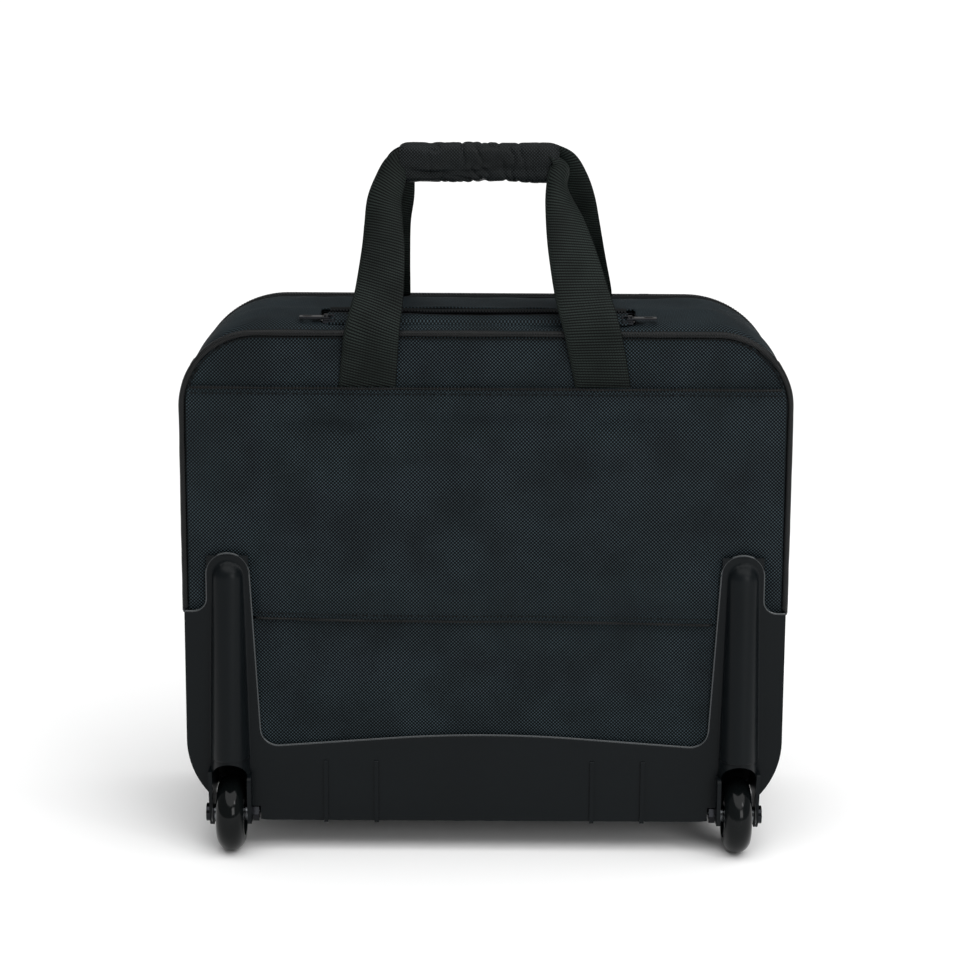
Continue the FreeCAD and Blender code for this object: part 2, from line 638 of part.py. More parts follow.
# Build ----------------------------------------------------------------------------------------
def build_root():
    base = base_shell()
    save("base_shell", base)
    wells = well_tool()
    sockets = both(tube_socket)
    save("tube_sockets", *sockets)

    save("back_panel", outline_plate(back_outline, back_y, panel_t).cut(wells))
    ring = body_loft(body_outlines).cut(body_loft(longer(body_outlines), -wall_t))
    ring = ring.cut(wells)
    for x in tube_x:
        room = rounded_box(across(15.4, x), across(11.4, tube_y), (0.0, 57.0), 4.0)
        ring = ring.cut(room)
    ring = ring.cut(rounded_box(slot_x, slot_y, (370.0, 420.0), 4.0))
    save("rear_gusset", ring)

    pocket = outline_plate(back_outline, back_y - 0.25, -1.8, -1.5)
    pocket = pocket.common(box((-300, 300), (-100, 0), (174.5, 345.5)))
    room = [(x, z, max(r - 0.5, 0)) for x, z, r in plate_corners()]
    plate = prism(rounded_wire(room, in_xz(plate_y + 1)), (0, -6, 0))
    grown = plate.multiFuse([plate.translated(V(dx, 0, dz)) for dx in (-0.5, 0.5) for dz in (0, 0.6)])
    save("back_pocket", pocket.cut(grown).cut(wells))

    path = rounded_wire(outline_corners(back_outline, 2.7), in_xz(back_y + 1.4))
    edges = [e for e in path.Edges if e.BoundBox.ZMax > wing_z]
    centre_x = side_x(wing_z + 3.0, back_outline) + 2.7
    upper = [e for e in edges if e.BoundBox.ZMin > wing_z]
    sides = [e for e in edges if e.BoundBox.ZMin <= wing_z]
    trimmed = []
    for e in sides:
        top = max((v.Point for v in e.Vertexes), key=lambda p: p.z)
        trimmed.append(Part.makeLine(V(math.copysign(centre_x, top.x), top.y, wing_z + 3.0), top))
    piping_path = Part.Wire(Part.__sortEdges__(upper + trimmed))
    start = piping_path.OrderedVertexes[0].Point
    section = Part.Wire([Part.Circle(start, V(0, 0, 1), 2.5).toShape()])
    save("rear_piping", piping_path.makePipeShell([section], True, True))

    save("frame_board", outline_plate(body_outlines[2], slot_y[1] + 0.2, 2.4, -wall_t - 3.0).common(
        box((-300, 300), (-100, 100), (0, 352.0))))
    inside_z = body_z + wall_t
    save("bottom_board", box((-150.0, 150.0), (slot_y[1] + 3.2, 58.0), (inside_z + 0.2, inside_z + 2.7)))
    save("laptop_sleeve", outline_plate(body_outlines[3], -6.0, 6.0, -wall_t - 2.0).common(
        box((-300, 300), (-100, 100), (body_z + wall_t + 3.0, 318.0))))

    save("outer_tubes", *both(lambda x: tube(outer_tube, x, outer_tube_z)))
    save("tube_guides", *both(tube_guide))
    bracket = rounded_box(across(58.0, trolley_x), (tube_y - 9.5, slot_y[1]), (338.0, 345.0), 3.0)
    for x in tube_x:
        bracket = bracket.cut(tube(outer_tube, x, (300.0, 400.0), solid=True))
    save("trolley_bracket", bracket)

    zip_x = (slot_x[0] + 8.0, slot_x[1] - 8.0)
    save("handle_zip_rear", box(zip_x, (slot_y[0] + 0.05, slot_y[0] + 2.2), (386.0, 388.6)))
    save("handle_zip_front", box(zip_x, (slot_y[1] - 2.2, slot_y[1] - 0.05), (392.4, 395.0)))
    save("main_zip_rear", zip_band((ring_front_y - 9.0, ring_front_y - 0.1), (0.1, 1.3), 82.0).fuse(
        zip_band((ring_front_y - 3.2, ring_front_y - 0.1), (0.1, 2.1), 84.0)))

    blocks, screws = feet()
    save("feet", *blocks)
    save("foot_screws", *screws)

    bolt, nut, washers = axle(-tower_x)
    save("axle_bolts", bolt, mirrored(bolt))
    save("axle_nuts", nut, mirrored(nut))
    save("axle_washers", *washers, *[mirrored(w) for w in washers])

    save("rear_strap_tabs", rear_tab(-84.0, -80.6), rear_tab(82.2, 74.8))
    save("front_strap_tabs", front_tab(-76.0), front_tab(73.5))
    tab = dring_tab()
    save("dring_tabs", tab, mirrored(tab))


def build_wheels():
    for side, x in (("left", -tower_x), ("right", tower_x)):
        save(side + "_tyre", tyre(x))
        save(side + "_hub", hub(x))
        save(side + "_bearings", bearing(x, -1), bearing(x, 1))


def build_trolley():
    save("mid_tubes", *both(lambda x: tube(mid_tube, x, mid_tube_z)))
    save("mid_collars", *both(mid_collar))
    save("inner_tubes", *both(lambda x: tube(inner_tube, x, inner_tube_z)))
    save("lock_plugs", *both(lambda x: rounded_box(
        (x - 6.2, x + 6.2), (tube_y - 2.7, tube_y + 2.7), (40.5, 56.0), 2.5)))
    save("grip_base", grip_base())
    save("grip_cover", grip_cover())
    save("release_button", button())
    save("push_link", box(across(link_half, trolley_x), across(4.0, tube_y), link_z))
    save("push_rods", *both(lambda x: bar(1.5, (x, tube_y, 61.0), (x, tube_y, link_z[0] - 0.1))))
    save("button_spring", button_spring())


def build_handle():
    save("rear_webbing", *rear_webbing())
    save("grip_wrap", rounded_box(wrap_x, wrap_y, wrap_z, 8.0, "x"))
    save("front_webbing", front_webbing())


def build_lid():
    lid_outlines = [(lid_y, *zip_outline[1:]), (76.0, *zip_outline[1:]), (front_y - 3.8, *front_outline[1:])]
    ring = body_loft(lid_outlines).cut(body_loft(longer(lid_outlines), -3.0))
    panel = outline_plate(zip_outline, lid_y, 3.0, -3.1)
    save("lid_gusset", ring)
    save("lid_panel", panel)
    save("main_zip_lid", zip_band((lid_y + 0.1, lid_y + 9.0), (0.1, 1.3), 82.0).fuse(
        zip_band((lid_y + 0.1, lid_y + 3.2), (0.1, 2.1), 84.0)))
    save("pocket_panel", outline_plate(front_outline, front_y - 3.5, 3.5))
    save("divider", outline_plate(zip_outline, lid_y + 16.0, 2.0, -9.0).common(
        box((-180.0, 180.0), (0, 200), (36.0, 250.0))).fuse(box((-176.0, 176.0), (lid_y + 3.1, lid_y + 18.0),
                                                              (36.0, 38.0))))


def build_sliders():
    x_axis, y_axis, z_axis = (1, 0, 0), (0, 1, 0), (0, 0, 1)
    over_lip = (slot_y[0] + 1.5, 389.6)
    for side, x, turn in (("left", -111.0, 180.0), ("right", 99.0, 0.0)):
        save(f"handle_slider_{side}", put(slider(), [], (x, *over_lip)))
        place = (x, over_lip[0], over_lip[1] + pull_lift)
        save(f"handle_pull_{side}", put(pull(21.0), [(z_axis, turn)], place))

    lean = math.degrees(math.atan((zip_outline[2] - zip_outline[1]) / (zip_outline[4] - zip_outline[3])))
    z, hang = 96.0, 14.0
    x = side_x(z) + 2.4
    save("main_slider", put(slider(), [(y_axis, 90.0 + lean)], (x, ring_front_y + 0.3, z)))
    save("main_pull", put(pull(24.0), [(y_axis, 90.0 - hang)], (x + pull_lift, ring_front_y + 0.3, z)))

    y, z = 89.0, 382.4
    slope = math.radians(31.3)
    lift = (y + pull_lift * math.sin(slope), z + pull_lift * math.cos(slope))
    save("pocket_slider", put(slider(), [(x_axis, -math.degrees(slope))], (120.0, y, z)))
    save("pocket_pull", put(pull(21.0), [(x_axis, -math.degrees(slope))], (120.0, *lift)))


def build_rings():
    ring = dring()
    save("right_dring", ring)
    save("left_dring", mirrored(ring))


os.makedirs(OUT, exist_ok=True)
build_root()
build_wheels()
build_trolley()
build_handle()
build_lid()
build_sliders()
build_rings()
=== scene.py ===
import bmesh
import bpy
import math
from mathutils import Matrix, Vector, noise


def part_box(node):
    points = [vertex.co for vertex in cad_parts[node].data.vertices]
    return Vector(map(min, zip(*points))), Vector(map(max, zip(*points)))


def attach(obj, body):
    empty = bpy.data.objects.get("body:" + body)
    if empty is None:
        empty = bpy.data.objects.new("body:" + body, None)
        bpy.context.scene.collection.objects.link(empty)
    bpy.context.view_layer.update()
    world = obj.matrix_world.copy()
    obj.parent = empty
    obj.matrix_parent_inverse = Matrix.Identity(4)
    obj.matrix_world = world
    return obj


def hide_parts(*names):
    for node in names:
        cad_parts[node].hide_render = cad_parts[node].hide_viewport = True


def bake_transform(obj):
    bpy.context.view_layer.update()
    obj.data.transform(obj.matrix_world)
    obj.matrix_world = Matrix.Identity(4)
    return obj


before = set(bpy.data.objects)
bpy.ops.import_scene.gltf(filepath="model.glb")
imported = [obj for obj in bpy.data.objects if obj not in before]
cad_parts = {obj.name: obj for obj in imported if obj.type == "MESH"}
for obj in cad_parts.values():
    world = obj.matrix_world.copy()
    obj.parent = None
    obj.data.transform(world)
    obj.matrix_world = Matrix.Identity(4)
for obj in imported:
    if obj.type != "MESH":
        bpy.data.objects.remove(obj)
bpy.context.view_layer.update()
print("frame loaded:", len(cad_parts), "nodes")

mm = 0.001
tau = 2 * math.pi


# colours and nodes
def hexToLinear(code):  # sRGB hex to linear RGBA
    channels = [int(code[i:i + 2], 16) / 255 for i in (1, 3, 5)]
    return [c / 12.92 if c <= 0.04045 else ((c + 0.055) / 1.055) ** 2.4 for c in channels] + [1.0]


def addNode(tree, kind, inputs=None, **settings):  # inputs are values, or sockets to link from
    node = tree.nodes.new("ShaderNode" + kind)
    for key, value in settings.items():
        setattr(node, key, value)
    for key, value in (inputs or {}).items():
        if isinstance(value, bpy.types.NodeSocket):
            tree.links.new(value, node.inputs[key])
        else:
            node.inputs[key].default_value = value
    return node


def newMaterial(name, **shader):  # a Principled material and its tree
    material = bpy.data.materials.new(name)
    material.use_nodes = True
    bsdf = material.node_tree.nodes["Principled BSDF"]
    for key, value in shader.items():
        bsdf.inputs[key.replace("_", " ")].default_value = value
    return material, material.node_tree, bsdf


def sine(tree, value, period):  # a wave of the given period in metres
    turns = addNode(tree, "Math", {0: value, 1: tau / period}, operation="MULTIPLY")
    return addNode(tree, "Math", {0: turns.outputs[0]}, operation="SINE").outputs[0]


def finishMaterial(tree, bsdf, height, strength, distance, low, high):
    # colour and bump both follow the same height, which runs from 0 to 1: the colour runs from low in the
    # weave's hollows to high on its crowns, so the hollows carry painted shade and the crowns a painted
    # highlight
    ramp = addNode(tree, "Mix", {0: height, 6: hexToLinear(low), 7: hexToLinear(high)}, data_type="RGBA")
    bump = addNode(tree, "Bump", {"Height": height, "Strength": strength, "Distance": distance})
    tree.links.new(ramp.outputs[2], bsdf.inputs["Base Color"])
    tree.links.new(bump.outputs[0], bsdf.inputs["Normal"])


def surfacePlane(tree):  # two coordinates in the plane that each face is nearest to
    place = addNode(tree, "TexCoord")
    spot = addNode(tree, "SeparateXYZ", {0: place.outputs["Object"]})
    facing = addNode(tree, "SeparateXYZ", {0: place.outputs["Normal"]})
    masks = []
    for axis in (0, 2):
        size = addNode(tree, "Math", {0: facing.outputs[axis]}, operation="ABSOLUTE")
        masks.append(addNode(tree, "Math", {0: size.outputs[0], 1: 0.7}, operation="GREATER_THAN").outputs[0])
    across = addNode(tree, "Mix", {0: masks[0], 2: spot.outputs[0], 3: spot.outputs[1]})
    along = addNode(tree, "Mix", {0: masks[1], 2: spot.outputs[2], 3: spot.outputs[1]})
    return place, across.outputs[0], along.outputs[0]


def wovenNylon(name, values):
    # ballistic nylon: thick filament yarns in a basket weave, whose crowns along one diagonal are painted
    # lighter (painted highlight) and whose hollows are painted dark (painted shade), times a random tone
    material, tree, bsdf = newMaterial(
        name, Roughness=values["roughness"], Specular_IOR_Level=values["specular"])
    place, across, along = surfacePlane(tree)
    wander = addNode(tree, "TexNoise", {
        "Vector": place.outputs["Object"], "Scale": 1 / (values["wander"] * mm),
        "Detail": 1.0})
    shift = addNode(tree, "Math", {0: wander.outputs[0], 1: 0.6 * mm}, operation="MULTIPLY").outputs[0]
    rise = addNode(tree, "Math", {0: across, 1: along}, operation="ADD")
    fall = addNode(tree, "Math", {0: across, 1: along}, operation="SUBTRACT")
    rise = addNode(tree, "Math", {0: rise.outputs[0], 1: shift}, operation="ADD").outputs[0]
    pitch = values["yarn"] * math.sqrt(2) * mm
    one = sine(tree, fall.outputs[0], pitch)
    two = sine(tree, rise, pitch)
    both = addNode(tree, "Math", {0: one, 1: two}, operation="ADD")
    weave = addNode(tree, "MapRange", {0: both.outputs[0], 1: -0.7, 2: 1.9}, interpolation_type="SMOOTHSTEP")
    patch = addNode(tree, "TexNoise", {
        "Vector": place.outputs["Object"], "Scale": 1 / (values["patch"] * mm),
        "Detail": 3.0})
    tone = addNode(tree, "MapRange", {0: patch.outputs[0], 1: 0.36, 2: 0.64, 3: 0.62, 4: 1.0})
    height = addNode(tree, "Math", {0: weave.outputs[0], 1: tone.outputs[0]}, operation="MULTIPLY").outputs[0]
    finishMaterial(tree, bsdf, height, 0.8, values["yarn"] * 0.4 * mm, values["low"], values["high"])
    return material


def wovenWebbing(name, values):
    # polyester webbing: heavy ribs across the strap, each broken into columns that sit half a rib apart
    material, tree, bsdf = newMaterial(
        name, Roughness=values["roughness"], Specular_IOR_Level=values["specular"])
    place = addNode(tree, "UVMap", uv_map="clothUv")
    spot = addNode(tree, "SeparateXYZ", {0: place.outputs[0]})
    column = addNode(tree, "Math", {0: spot.outputs[0], 1: values["column"] * mm}, operation="DIVIDE")
    whole = addNode(tree, "Math", {0: column.outputs[0]}, operation="FLOOR")
    odd = addNode(tree, "Math", {0: whole.outputs[0], 1: values["rib"] * 0.18 * mm}, operation="MULTIPLY")
    rowAt = addNode(tree, "Math", {0: spot.outputs[1], 1: odd.outputs[0]}, operation="ADD").outputs[0]
    rib = sine(tree, rowAt, values["rib"] * mm)
    crown = sine(tree, spot.outputs[0], values["column"] * 2 * mm)
    crown = addNode(tree, "Math", {0: crown}, operation="ABSOLUTE").outputs[0]
    rib = addNode(tree, "Math", {0: rib, 1: 0.5, 2: 0.22}, operation="MULTIPLY_ADD").outputs[0]
    woven = addNode(tree, "Math", {0: crown, 1: 0.3, 2: rib}, operation="MULTIPLY_ADD", use_clamp=True)
    wear = addNode(tree, "TexCoord")
    patch = addNode(tree, "TexNoise", {
        "Vector": wear.outputs["Object"], "Scale": 1 / (values["patch"] * mm), "Detail": 2.0})
    tone = addNode(tree, "MapRange", {0: patch.outputs[0], 1: 0.35, 2: 0.65, 3: 0.55, 4: 1.0})
    height = addNode(tree, "Math", {0: woven.outputs[0], 1: tone.outputs[0]}, operation="MULTIPLY")
    # the ribs' hollows are painted dark and their crowns lighter: painted shade and painted highlight, times
    # a random tone
    finishMaterial(tree, bsdf, height.outputs[0], 0.8, 0.5 * mm, values["low"], values["high"])
    return material


def plainWeave(name, values):
    # plain woven polyester: fine square weave, flat and dull
    material, tree, bsdf = newMaterial(name, Roughness=0.85, Specular_IOR_Level=values["specular"])
    place, across, along = surfacePlane(tree)
    one = sine(tree, across, values["thread"] * mm)
    two = sine(tree, along, values["thread"] * mm)
    both = addNode(tree, "Math", {0: one, 1: two}, operation="MULTIPLY")
    height = addNode(tree, "Math", {0: both.outputs[0], 1: 0.4, 2: 0.5}, operation="MULTIPLY_ADD").outputs[0]
    # the weave's hollows are painted darker and its crowns lighter: painted shade and painted highlight
    finishMaterial(tree, bsdf, height, 0.4, 0.2 * mm, values["low"], values["high"])
    return material


rubbedPatch = 70  # how far apart the rubbed places are


def mouldedPlastic(name, values):
    # injection moulded: spark-eroded mould grain, a little shinier where it has been rubbed
    material, tree, bsdf = newMaterial(
        name, IOR=values["ior"], Specular_IOR_Level=values["specular"])
    place = addNode(tree, "TexCoord")
    grain = addNode(tree, "TexNoise", {
        "Vector": place.outputs["Object"], "Scale": 1 / (values["grain"] * mm), "Detail": 2.0})
    rub = addNode(tree, "TexNoise", {
        "Vector": place.outputs["Object"], "Scale": 1 / (rubbedPatch * mm), "Detail": 4.0})
    rough = addNode(tree, "MapRange", {
        0: rub.outputs[0], 1: 0.3, 2: 0.7, 3: values["roughness"][0], 4: values["roughness"][1]})
    colour = addNode(tree, "Mix", {
        0: rub.outputs[0], 6: hexToLinear(values["low"]), 7: hexToLinear(values["high"])}, data_type="RGBA")
    bump = addNode(tree, "Bump", {
        "Height": grain.outputs[0], "Strength": values["bump"], "Distance": 0.1 * mm})
    tree.links.new(colour.outputs[2], bsdf.inputs["Base Color"])
    tree.links.new(rough.outputs[0], bsdf.inputs["Roughness"])
    tree.links.new(bump.outputs[0], bsdf.inputs["Normal"])
    return material


def finishedMetal(name, values):
    # metal: plated or anodised, with fine draw lines along Z where it was extruded
    material, tree, bsdf = newMaterial(name, Metallic=1.0)
    place = addNode(tree, "TexCoord")
    stretch = addNode(tree, "Mapping", {"Vector": place.outputs["Object"], "Scale": values["lines"]})
    lines = addNode(tree, "TexNoise", {"Vector": stretch.outputs[0], "Scale": 1 / mm, "Detail": 2.0})
    rough = addNode(tree, "MapRange", {
        0: lines.outputs[0], 3: values["roughness"][0], 4: values["roughness"][1]})
    colour = addNode(tree, "Mix", {
        0: lines.outputs[0], 6: hexToLinear(values["low"]), 7: hexToLinear(values["high"])}, data_type="RGBA")
    bump = addNode(tree, "Bump", {
        "Height": lines.outputs[0], "Strength": values["bump"], "Distance": 0.05 * mm})
    tree.links.new(colour.outputs[2], bsdf.inputs["Base Color"])
    tree.links.new(rough.outputs[0], bsdf.inputs["Roughness"])
    tree.links.new(bump.outputs[0], bsdf.inputs["Normal"])
    return material


# the weaves are drawn coarser than the real cloths', so that they show from the camera
bodyNylon = {"yarn": 1.75, "low": "#000000", "high": "#37444a", "roughness": 0.6, "wander": 9, "patch": 38,
             "specular": 0.07}
gripNylon = dict(bodyNylon, yarn=1.6, high="#262d2f", roughness=0.42, specular=0.12)
pipeNylon = dict(bodyNylon, yarn=1.3, high="#151a1c", roughness=0.3, specular=0.2)
strapWeb = {"column": 1.9, "rib": 2.0, "low": "#000000", "high": "#262e2b", "roughness": 0.5, "patch": 30,
            "specular": 0.07}
liningCloth = {"thread": 1.2, "low": "#2a2d31", "high": "#43474d", "specular": 0.2}
tapeCloth = {"thread": 1.3, "low": "#040505", "high": "#141718", "specular": 0.12}
basePlastic = {"ior": 1.49, "specular": 0.1, "grain": 0.6, "bump": 0.3, "roughness": (0.3, 0.42),
               "low": "#090c0e", "high": "#0f1315"}
# the lip's lighter colour is a painted highlight along the plate's edge; its higher specular and lower
# roughness are its own
lipHighlightPlastic = dict(basePlastic, roughness=(0.2, 0.34), specular=0.6, low="#15191b", high="#2a3033")
hubPlastic = dict(basePlastic, roughness=(0.22, 0.32), bump=0.15)
tyrePlastic = {"ior": 1.52, "specular": 0.13, "grain": 0.9, "bump": 0.04, "roughness": (0.1, 0.16),
               "low": "#070909", "high": "#0c0f10"}
coilPlastic = {"ior": 1.53, "specular": 0.1, "grain": 0.4, "bump": 0.1, "roughness": (0.3, 0.4),
               "low": "#0a0b0c", "high": "#15171a"}
boardPlastic = dict(basePlastic, roughness=(0.6, 0.75), low="#1b1c1e", high="#26282b")
threadPlastic = dict(coilPlastic, roughness=(0.55, 0.65), low="#07090a", high="#15191b")
plated = {"low": "#55585b", "high": "#85888b", "roughness": (0.16, 0.3), "bump": 0.1, "lines": (1, 1, 1)}
anodised = {"low": "#a9abae", "high": "#bfc1c4", "roughness": (0.28, 0.4), "bump": 0.2, "lines": (3, 3, 0.02)}
blackNickel = {"low": "#1a1b1d", "high": "#2b2c2f", "roughness": (0.1, 0.22), "bump": 0.1, "lines": (1, 1, 1)}

nylonWoven = wovenNylon("ballisticNylonWoven", bodyNylon)
sleeveWoven = wovenNylon("sleeveNylonWoven", gripNylon)
pipingWoven = wovenNylon("pipingNylonWoven", pipeNylon)
webbingWoven = wovenWebbing("polyesterWebbingWoven", strapWeb)
liningWoven = plainWeave("polyesterLiningWoven", liningCloth)
tapeWoven = plainWeave("polyesterTapeWoven", tapeCloth)
baseMoulded = mouldedPlastic("polypropyleneMoulded", basePlastic)
lipHighlightMoulded = mouldedPlastic("polypropyleneLipPaintedHighlight", lipHighlightPlastic)
hubMoulded = mouldedPlastic("nylonHubMoulded", hubPlastic)
tyreCast = mouldedPlastic("polyurethaneCast", tyrePlastic)
coilWound = mouldedPlastic("nylonCoilWound", coilPlastic)
boardExtruded = mouldedPlastic("polyethyleneSheetExtruded", boardPlastic)
threadSpun = mouldedPlastic("polyesterThreadSpun", threadPlastic)
steelPlated = finishedMetal("steelZincPlated", plated)
tubeAnodised = finishedMetal("aluminiumAnodised", anodised)
sliderPlated = finishedMetal("zincBlackNickelPlated", blackNickel)
print("materials made")


# meshes; all shapes below are in millimetres until makePiece turns them to metres
def makePiece(name, verts, faces, material, body, uvs=None, smooth=True, subdivide=0):
    mesh = bpy.data.meshes.new(name)
    mesh.from_pydata([Vector(v) * mm for v in verts], [], faces)
    if uvs:
        layer = mesh.uv_layers.new(name="clothUv")
        for loop in mesh.loops:
            layer.uv[loop.index].vector = Vector(uvs[loop.vertex_index]) * mm
    work = bmesh.new()
    work.from_mesh(mesh)
    bmesh.ops.recalc_face_normals(work, faces=work.faces)
    work.to_mesh(mesh)
    work.free()
    mesh.polygons.foreach_set("use_smooth", [smooth] * len(mesh.polygons))
    mesh.materials.append(material)
    piece = bpy.data.objects.new(name, mesh)
    bpy.context.scene.collection.objects.link(piece)
    if subdivide:
        rounding = piece.modifiers.new("rounding", "SUBSURF")
        rounding.levels = rounding.render_levels = subdivide
    if body:  # a piece given no body is left unattached
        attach(piece, body)
    return piece


def gridFaces(rows, columns, wrapRows=False, wrapColumns=False):
    faces = []
    for r in range(rows if wrapRows else rows - 1):
        for c in range(columns if wrapColumns else columns - 1):
            r2, c2 = (r + 1) % rows, (c + 1) % columns
            faces.append((r * columns + c, r * columns + c2, r2 * columns + c2, r2 * columns + c))
    return faces


def smoothThrough(stations, steps):  # Catmull-Rom through rows of numbers
    rows = [stations[0], *stations, stations[-1]]
    out = []
    for a, b, c, d in zip(rows, rows[1:], rows[2:], rows[3:]):
        for k in range(steps):
            t = k / steps
            out.append([
                0.5 * (2 * q + (r - p) * t + (2 * p - 5 * q + 4 * r - s) * t * t
                       + (3 * q - p - 3 * r + s) * t ** 3)
                for p, q, r, s in zip(a, b, c, d)])
    return out + [list(stations[-1])]


def resample(points, spacing, closed=False):  # evenly spaced points along a polyline
    line = [Vector(p) for p in points] + ([Vector(points[0])] if closed else [])
    lengths = [(b - a).length for a, b in zip(line, line[1:])]
    count = max(2, round(sum(lengths) / spacing))
    step = sum(lengths) / count
    out, target, run, i = [], 0.0, 0.0, 0
    for _ in range(count if closed else count + 1):
        while i < len(lengths) - 1 and run + lengths[i] < target:
            run += lengths[i]
            i += 1
        t = (target - run) / lengths[i] if lengths[i] else 0
        out.append(line[i].lerp(line[i + 1], min(max(t, 0), 1)))
        target += step
    return out


def frames(points, side, closed=False):  # (point, side, lift) with side kept near a fixed direction
    out = []
    for i, p in enumerate(points):
        before = points[i - 1] if i or closed else p
        after = points[(i + 1) % len(points)] if i < len(points) - 1 or closed else p
        tangent = (after - before).normalized()
        lift = tangent.cross(Vector(side)).normalized()
        out.append((p, lift.cross(tangent).normalized(), lift))
    return out


def tube(points, radius, side, closed=False, sides=12, wobble=0.0):  # a round or oval bead
    wide, high = radius if isinstance(radius, tuple) else (radius, radius)
    verts = []
    for p, sideways, lift in frames(points, side, closed):
        swell = 1 + wobble * noise.noise(p / 14)
        for k in range(sides):
            a = tau * k / sides
            verts.append(p + (sideways * wide * math.cos(a) + lift * high * math.sin(a)) * swell)
    faces = gridFaces(len(points), sides, closed, True)
    if not closed:
        faces += [tuple(range(sides)), tuple(range(len(verts) - sides, len(verts)))]
    return verts, faces


def joined(parts):  # several (vertices, faces) as one
    verts, faces = [], []
    for v, f in parts:
        faces += [tuple(i + len(verts) for i in face) for face in f]
        verts += v
    return verts, faces


def block(centre, axes, sizes):  # a small block with its corners cut, for zip teeth
    x, y, z = [a * s / 2 for a, s in zip(axes, sizes)]
    verts = []
    for dz, scale in ((-1, 0.75), (-0.45, 1), (0.45, 1), (1, 0.75)):
        for dx, dy in ((-1, -1), (1, -1), (1, 1), (-1, 1)):
            verts.append(centre + x * dx * scale + y * dy * scale + z * dz)
    faces = gridFaces(4, 4, False, True) + [(3, 2, 1, 0), (12, 13, 14, 15)]
    return verts, faces


stitch = {"length": 2.7, "pitch": 3.6, "radius": 0.36}


def stitches(points, outward):  # sewn thread along a line
    radius = stitch["radius"]
    spots = resample(points, stitch["pitch"])
    parts = []
    for a, b in zip(spots, spots[1:]):
        along = (b - a).normalized()
        up = Vector(outward)
        half = along * stitch["length"] / 2
        middle = (a + b) / 2
        line = [middle - half - up * radius * 0.7, middle - half * 0.55 + up * radius * 0.25,
                middle + half * 0.55 + up * radius * 0.25, middle + half - up * radius * 0.7]
        parts.append(tube(line, radius, up.cross(along), sides=5))
    return joined(parts)


# the outline of the case at a depth:
# (y, half width low, half width high, underside, top, low radius, top radius)
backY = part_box("back_panel")[0].y / mm
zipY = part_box("rear_gusset")[1].y / mm
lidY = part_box("lid_panel")[0].y / mm
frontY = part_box("pocket_panel")[1].y / mm
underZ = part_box("rear_gusset")[0].z / mm
caseOutlines = [
    (backY, 212.8, 212.2, underZ, 381.0, 58.0, 50.0),
    (backY + 3.2, 213.0, 213.0, underZ, 384.6, 58.0, 52.0),
    (-66.0, 213.2, 213.8, underZ, 388.4, 58.0, 55.0),
    (-59.0, 213.4, 214.6, underZ, 391.0, 58.0, 58.0),
    (-31.0, 214.0, 216.5, underZ, 395.8, 58.0, 66.0),
    (10.0, 214.0, 216.5, underZ, 397.0, 58.0, 70.0),
    (48.0, 214.0, 216.5, underZ, 390.4, 58.0, 66.0),
    (zipY, 214.0, 216.5, underZ, 389.6, 58.0, 66.0),
]
lidOutlines = [
    (lidY, 214.0, 216.5, underZ, 389.6, 58.0, 66.0),
    (76.0, 214.0, 216.5, underZ, 389.4, 58.0, 66.0),
    (88.0, 212.6, 214.8, underZ + 1.2, 385.2, 56.0, 60.0),
    (frontY - 3.8, 210.0, 212.0, underZ + 2.7, 378.0, 54.0, 52.0),
]


def outlineAt(outlines, y):
    for a, b in zip(outlines, outlines[1:]):
        if y <= b[0] + 1e-6:
            t = max(0.0, (y - a[0]) / (b[0] - a[0]))
            return tuple(p + (q - p) * t for p, q in zip(a, b))
    return outlines[-1]


def outlinePoints(o, off=0.0, counts=(44, 14, 46, 18), topCounts=(14, 60, 14), stops=(106.0, -118.0)):
    # the outline anticlockwise seen from the back, from the middle of the underside, as
    # (x, z, outward x, outward z); the counts are fixed, so that outlines match point for point
    low, high, z0, z1, r0, r1 = o[1:]
    lowX, highX, lowZ, highZ = low + off, high + off, z0 - off, z1 + off
    r0, r1 = r0 + off, r1 + off
    slant = math.atan2(highX - lowX, highZ - lowZ)
    flatLow = lowX - r0 * math.tan((math.pi / 2 - slant) / 2)
    flatHigh = highX - r1 * math.tan((math.pi / 2 + slant) / 2)
    nBottom, nLow, nSide, nHigh = counts
    right = [(flatLow * k / nBottom, lowZ, 0.0, -1.0) for k in range(nBottom)]
    for k in range(nLow):
        a = -math.pi / 2 + (math.pi / 2 - slant) * k / nLow
        right.append((flatLow + r0 * math.cos(a), lowZ + r0 + r0 * math.sin(a), math.cos(a), math.sin(a)))
    startX, startZ = flatLow + r0 * math.cos(-slant), lowZ + r0 + r0 * math.sin(-slant)
    endX, endZ = flatHigh + r1 * math.cos(-slant), highZ - r1 + r1 * math.sin(-slant)
    for k in range(nSide):
        t = k / nSide
        right.append((startX + (endX - startX) * t, startZ + (endZ - startZ) * t,
                      math.cos(slant), -math.sin(slant)))
    for k in range(nHigh):
        a = -slant + (math.pi / 2 + slant) * k / nHigh
        right.append((flatHigh + r1 * math.cos(a), highZ - r1 + r1 * math.sin(a), math.cos(a), math.sin(a)))
    corners = [flatHigh, *stops, -flatHigh]
    top = []
    for a, b, n in zip(corners, corners[1:], topCounts):
        top += [(a + (b - a) * k / n, highZ, 0.0, 1.0) for k in range(n)]
    left = [(-x, z, -nx, nz) for x, z, nx, nz in reversed(right[1:])]
    return right + top + [(-flatHigh, highZ, 0.0, 1.0)] + left


print("shapes ready")

# case body: soft nylon skin, with the handle slot open in its top
slot = {"x": (106.0, -118.0), "y": (-62.0, -31.0)}
well = {"x": 184.6, "half": 17.0, "top": 76.0, "front": -38.0}  # the room each wheel needs
caseSkin = {"crease": 0.7, "puff": 1.2}
cloth = {"thick": 1.6, "seam": 14}  # the skin's thickness, and how far from a seam it lies flat
caseDepths = [backY + d for d in (0.3, 1.2, 3.2, 5.5, 8.5)] + [slot["y"][0]] + [-57, -52, -46, -40, -35]
caseDepths += [slot["y"][1]] + [-26 + 6.5 * k for k in range(13)] + [zipY - 3.0, zipY]


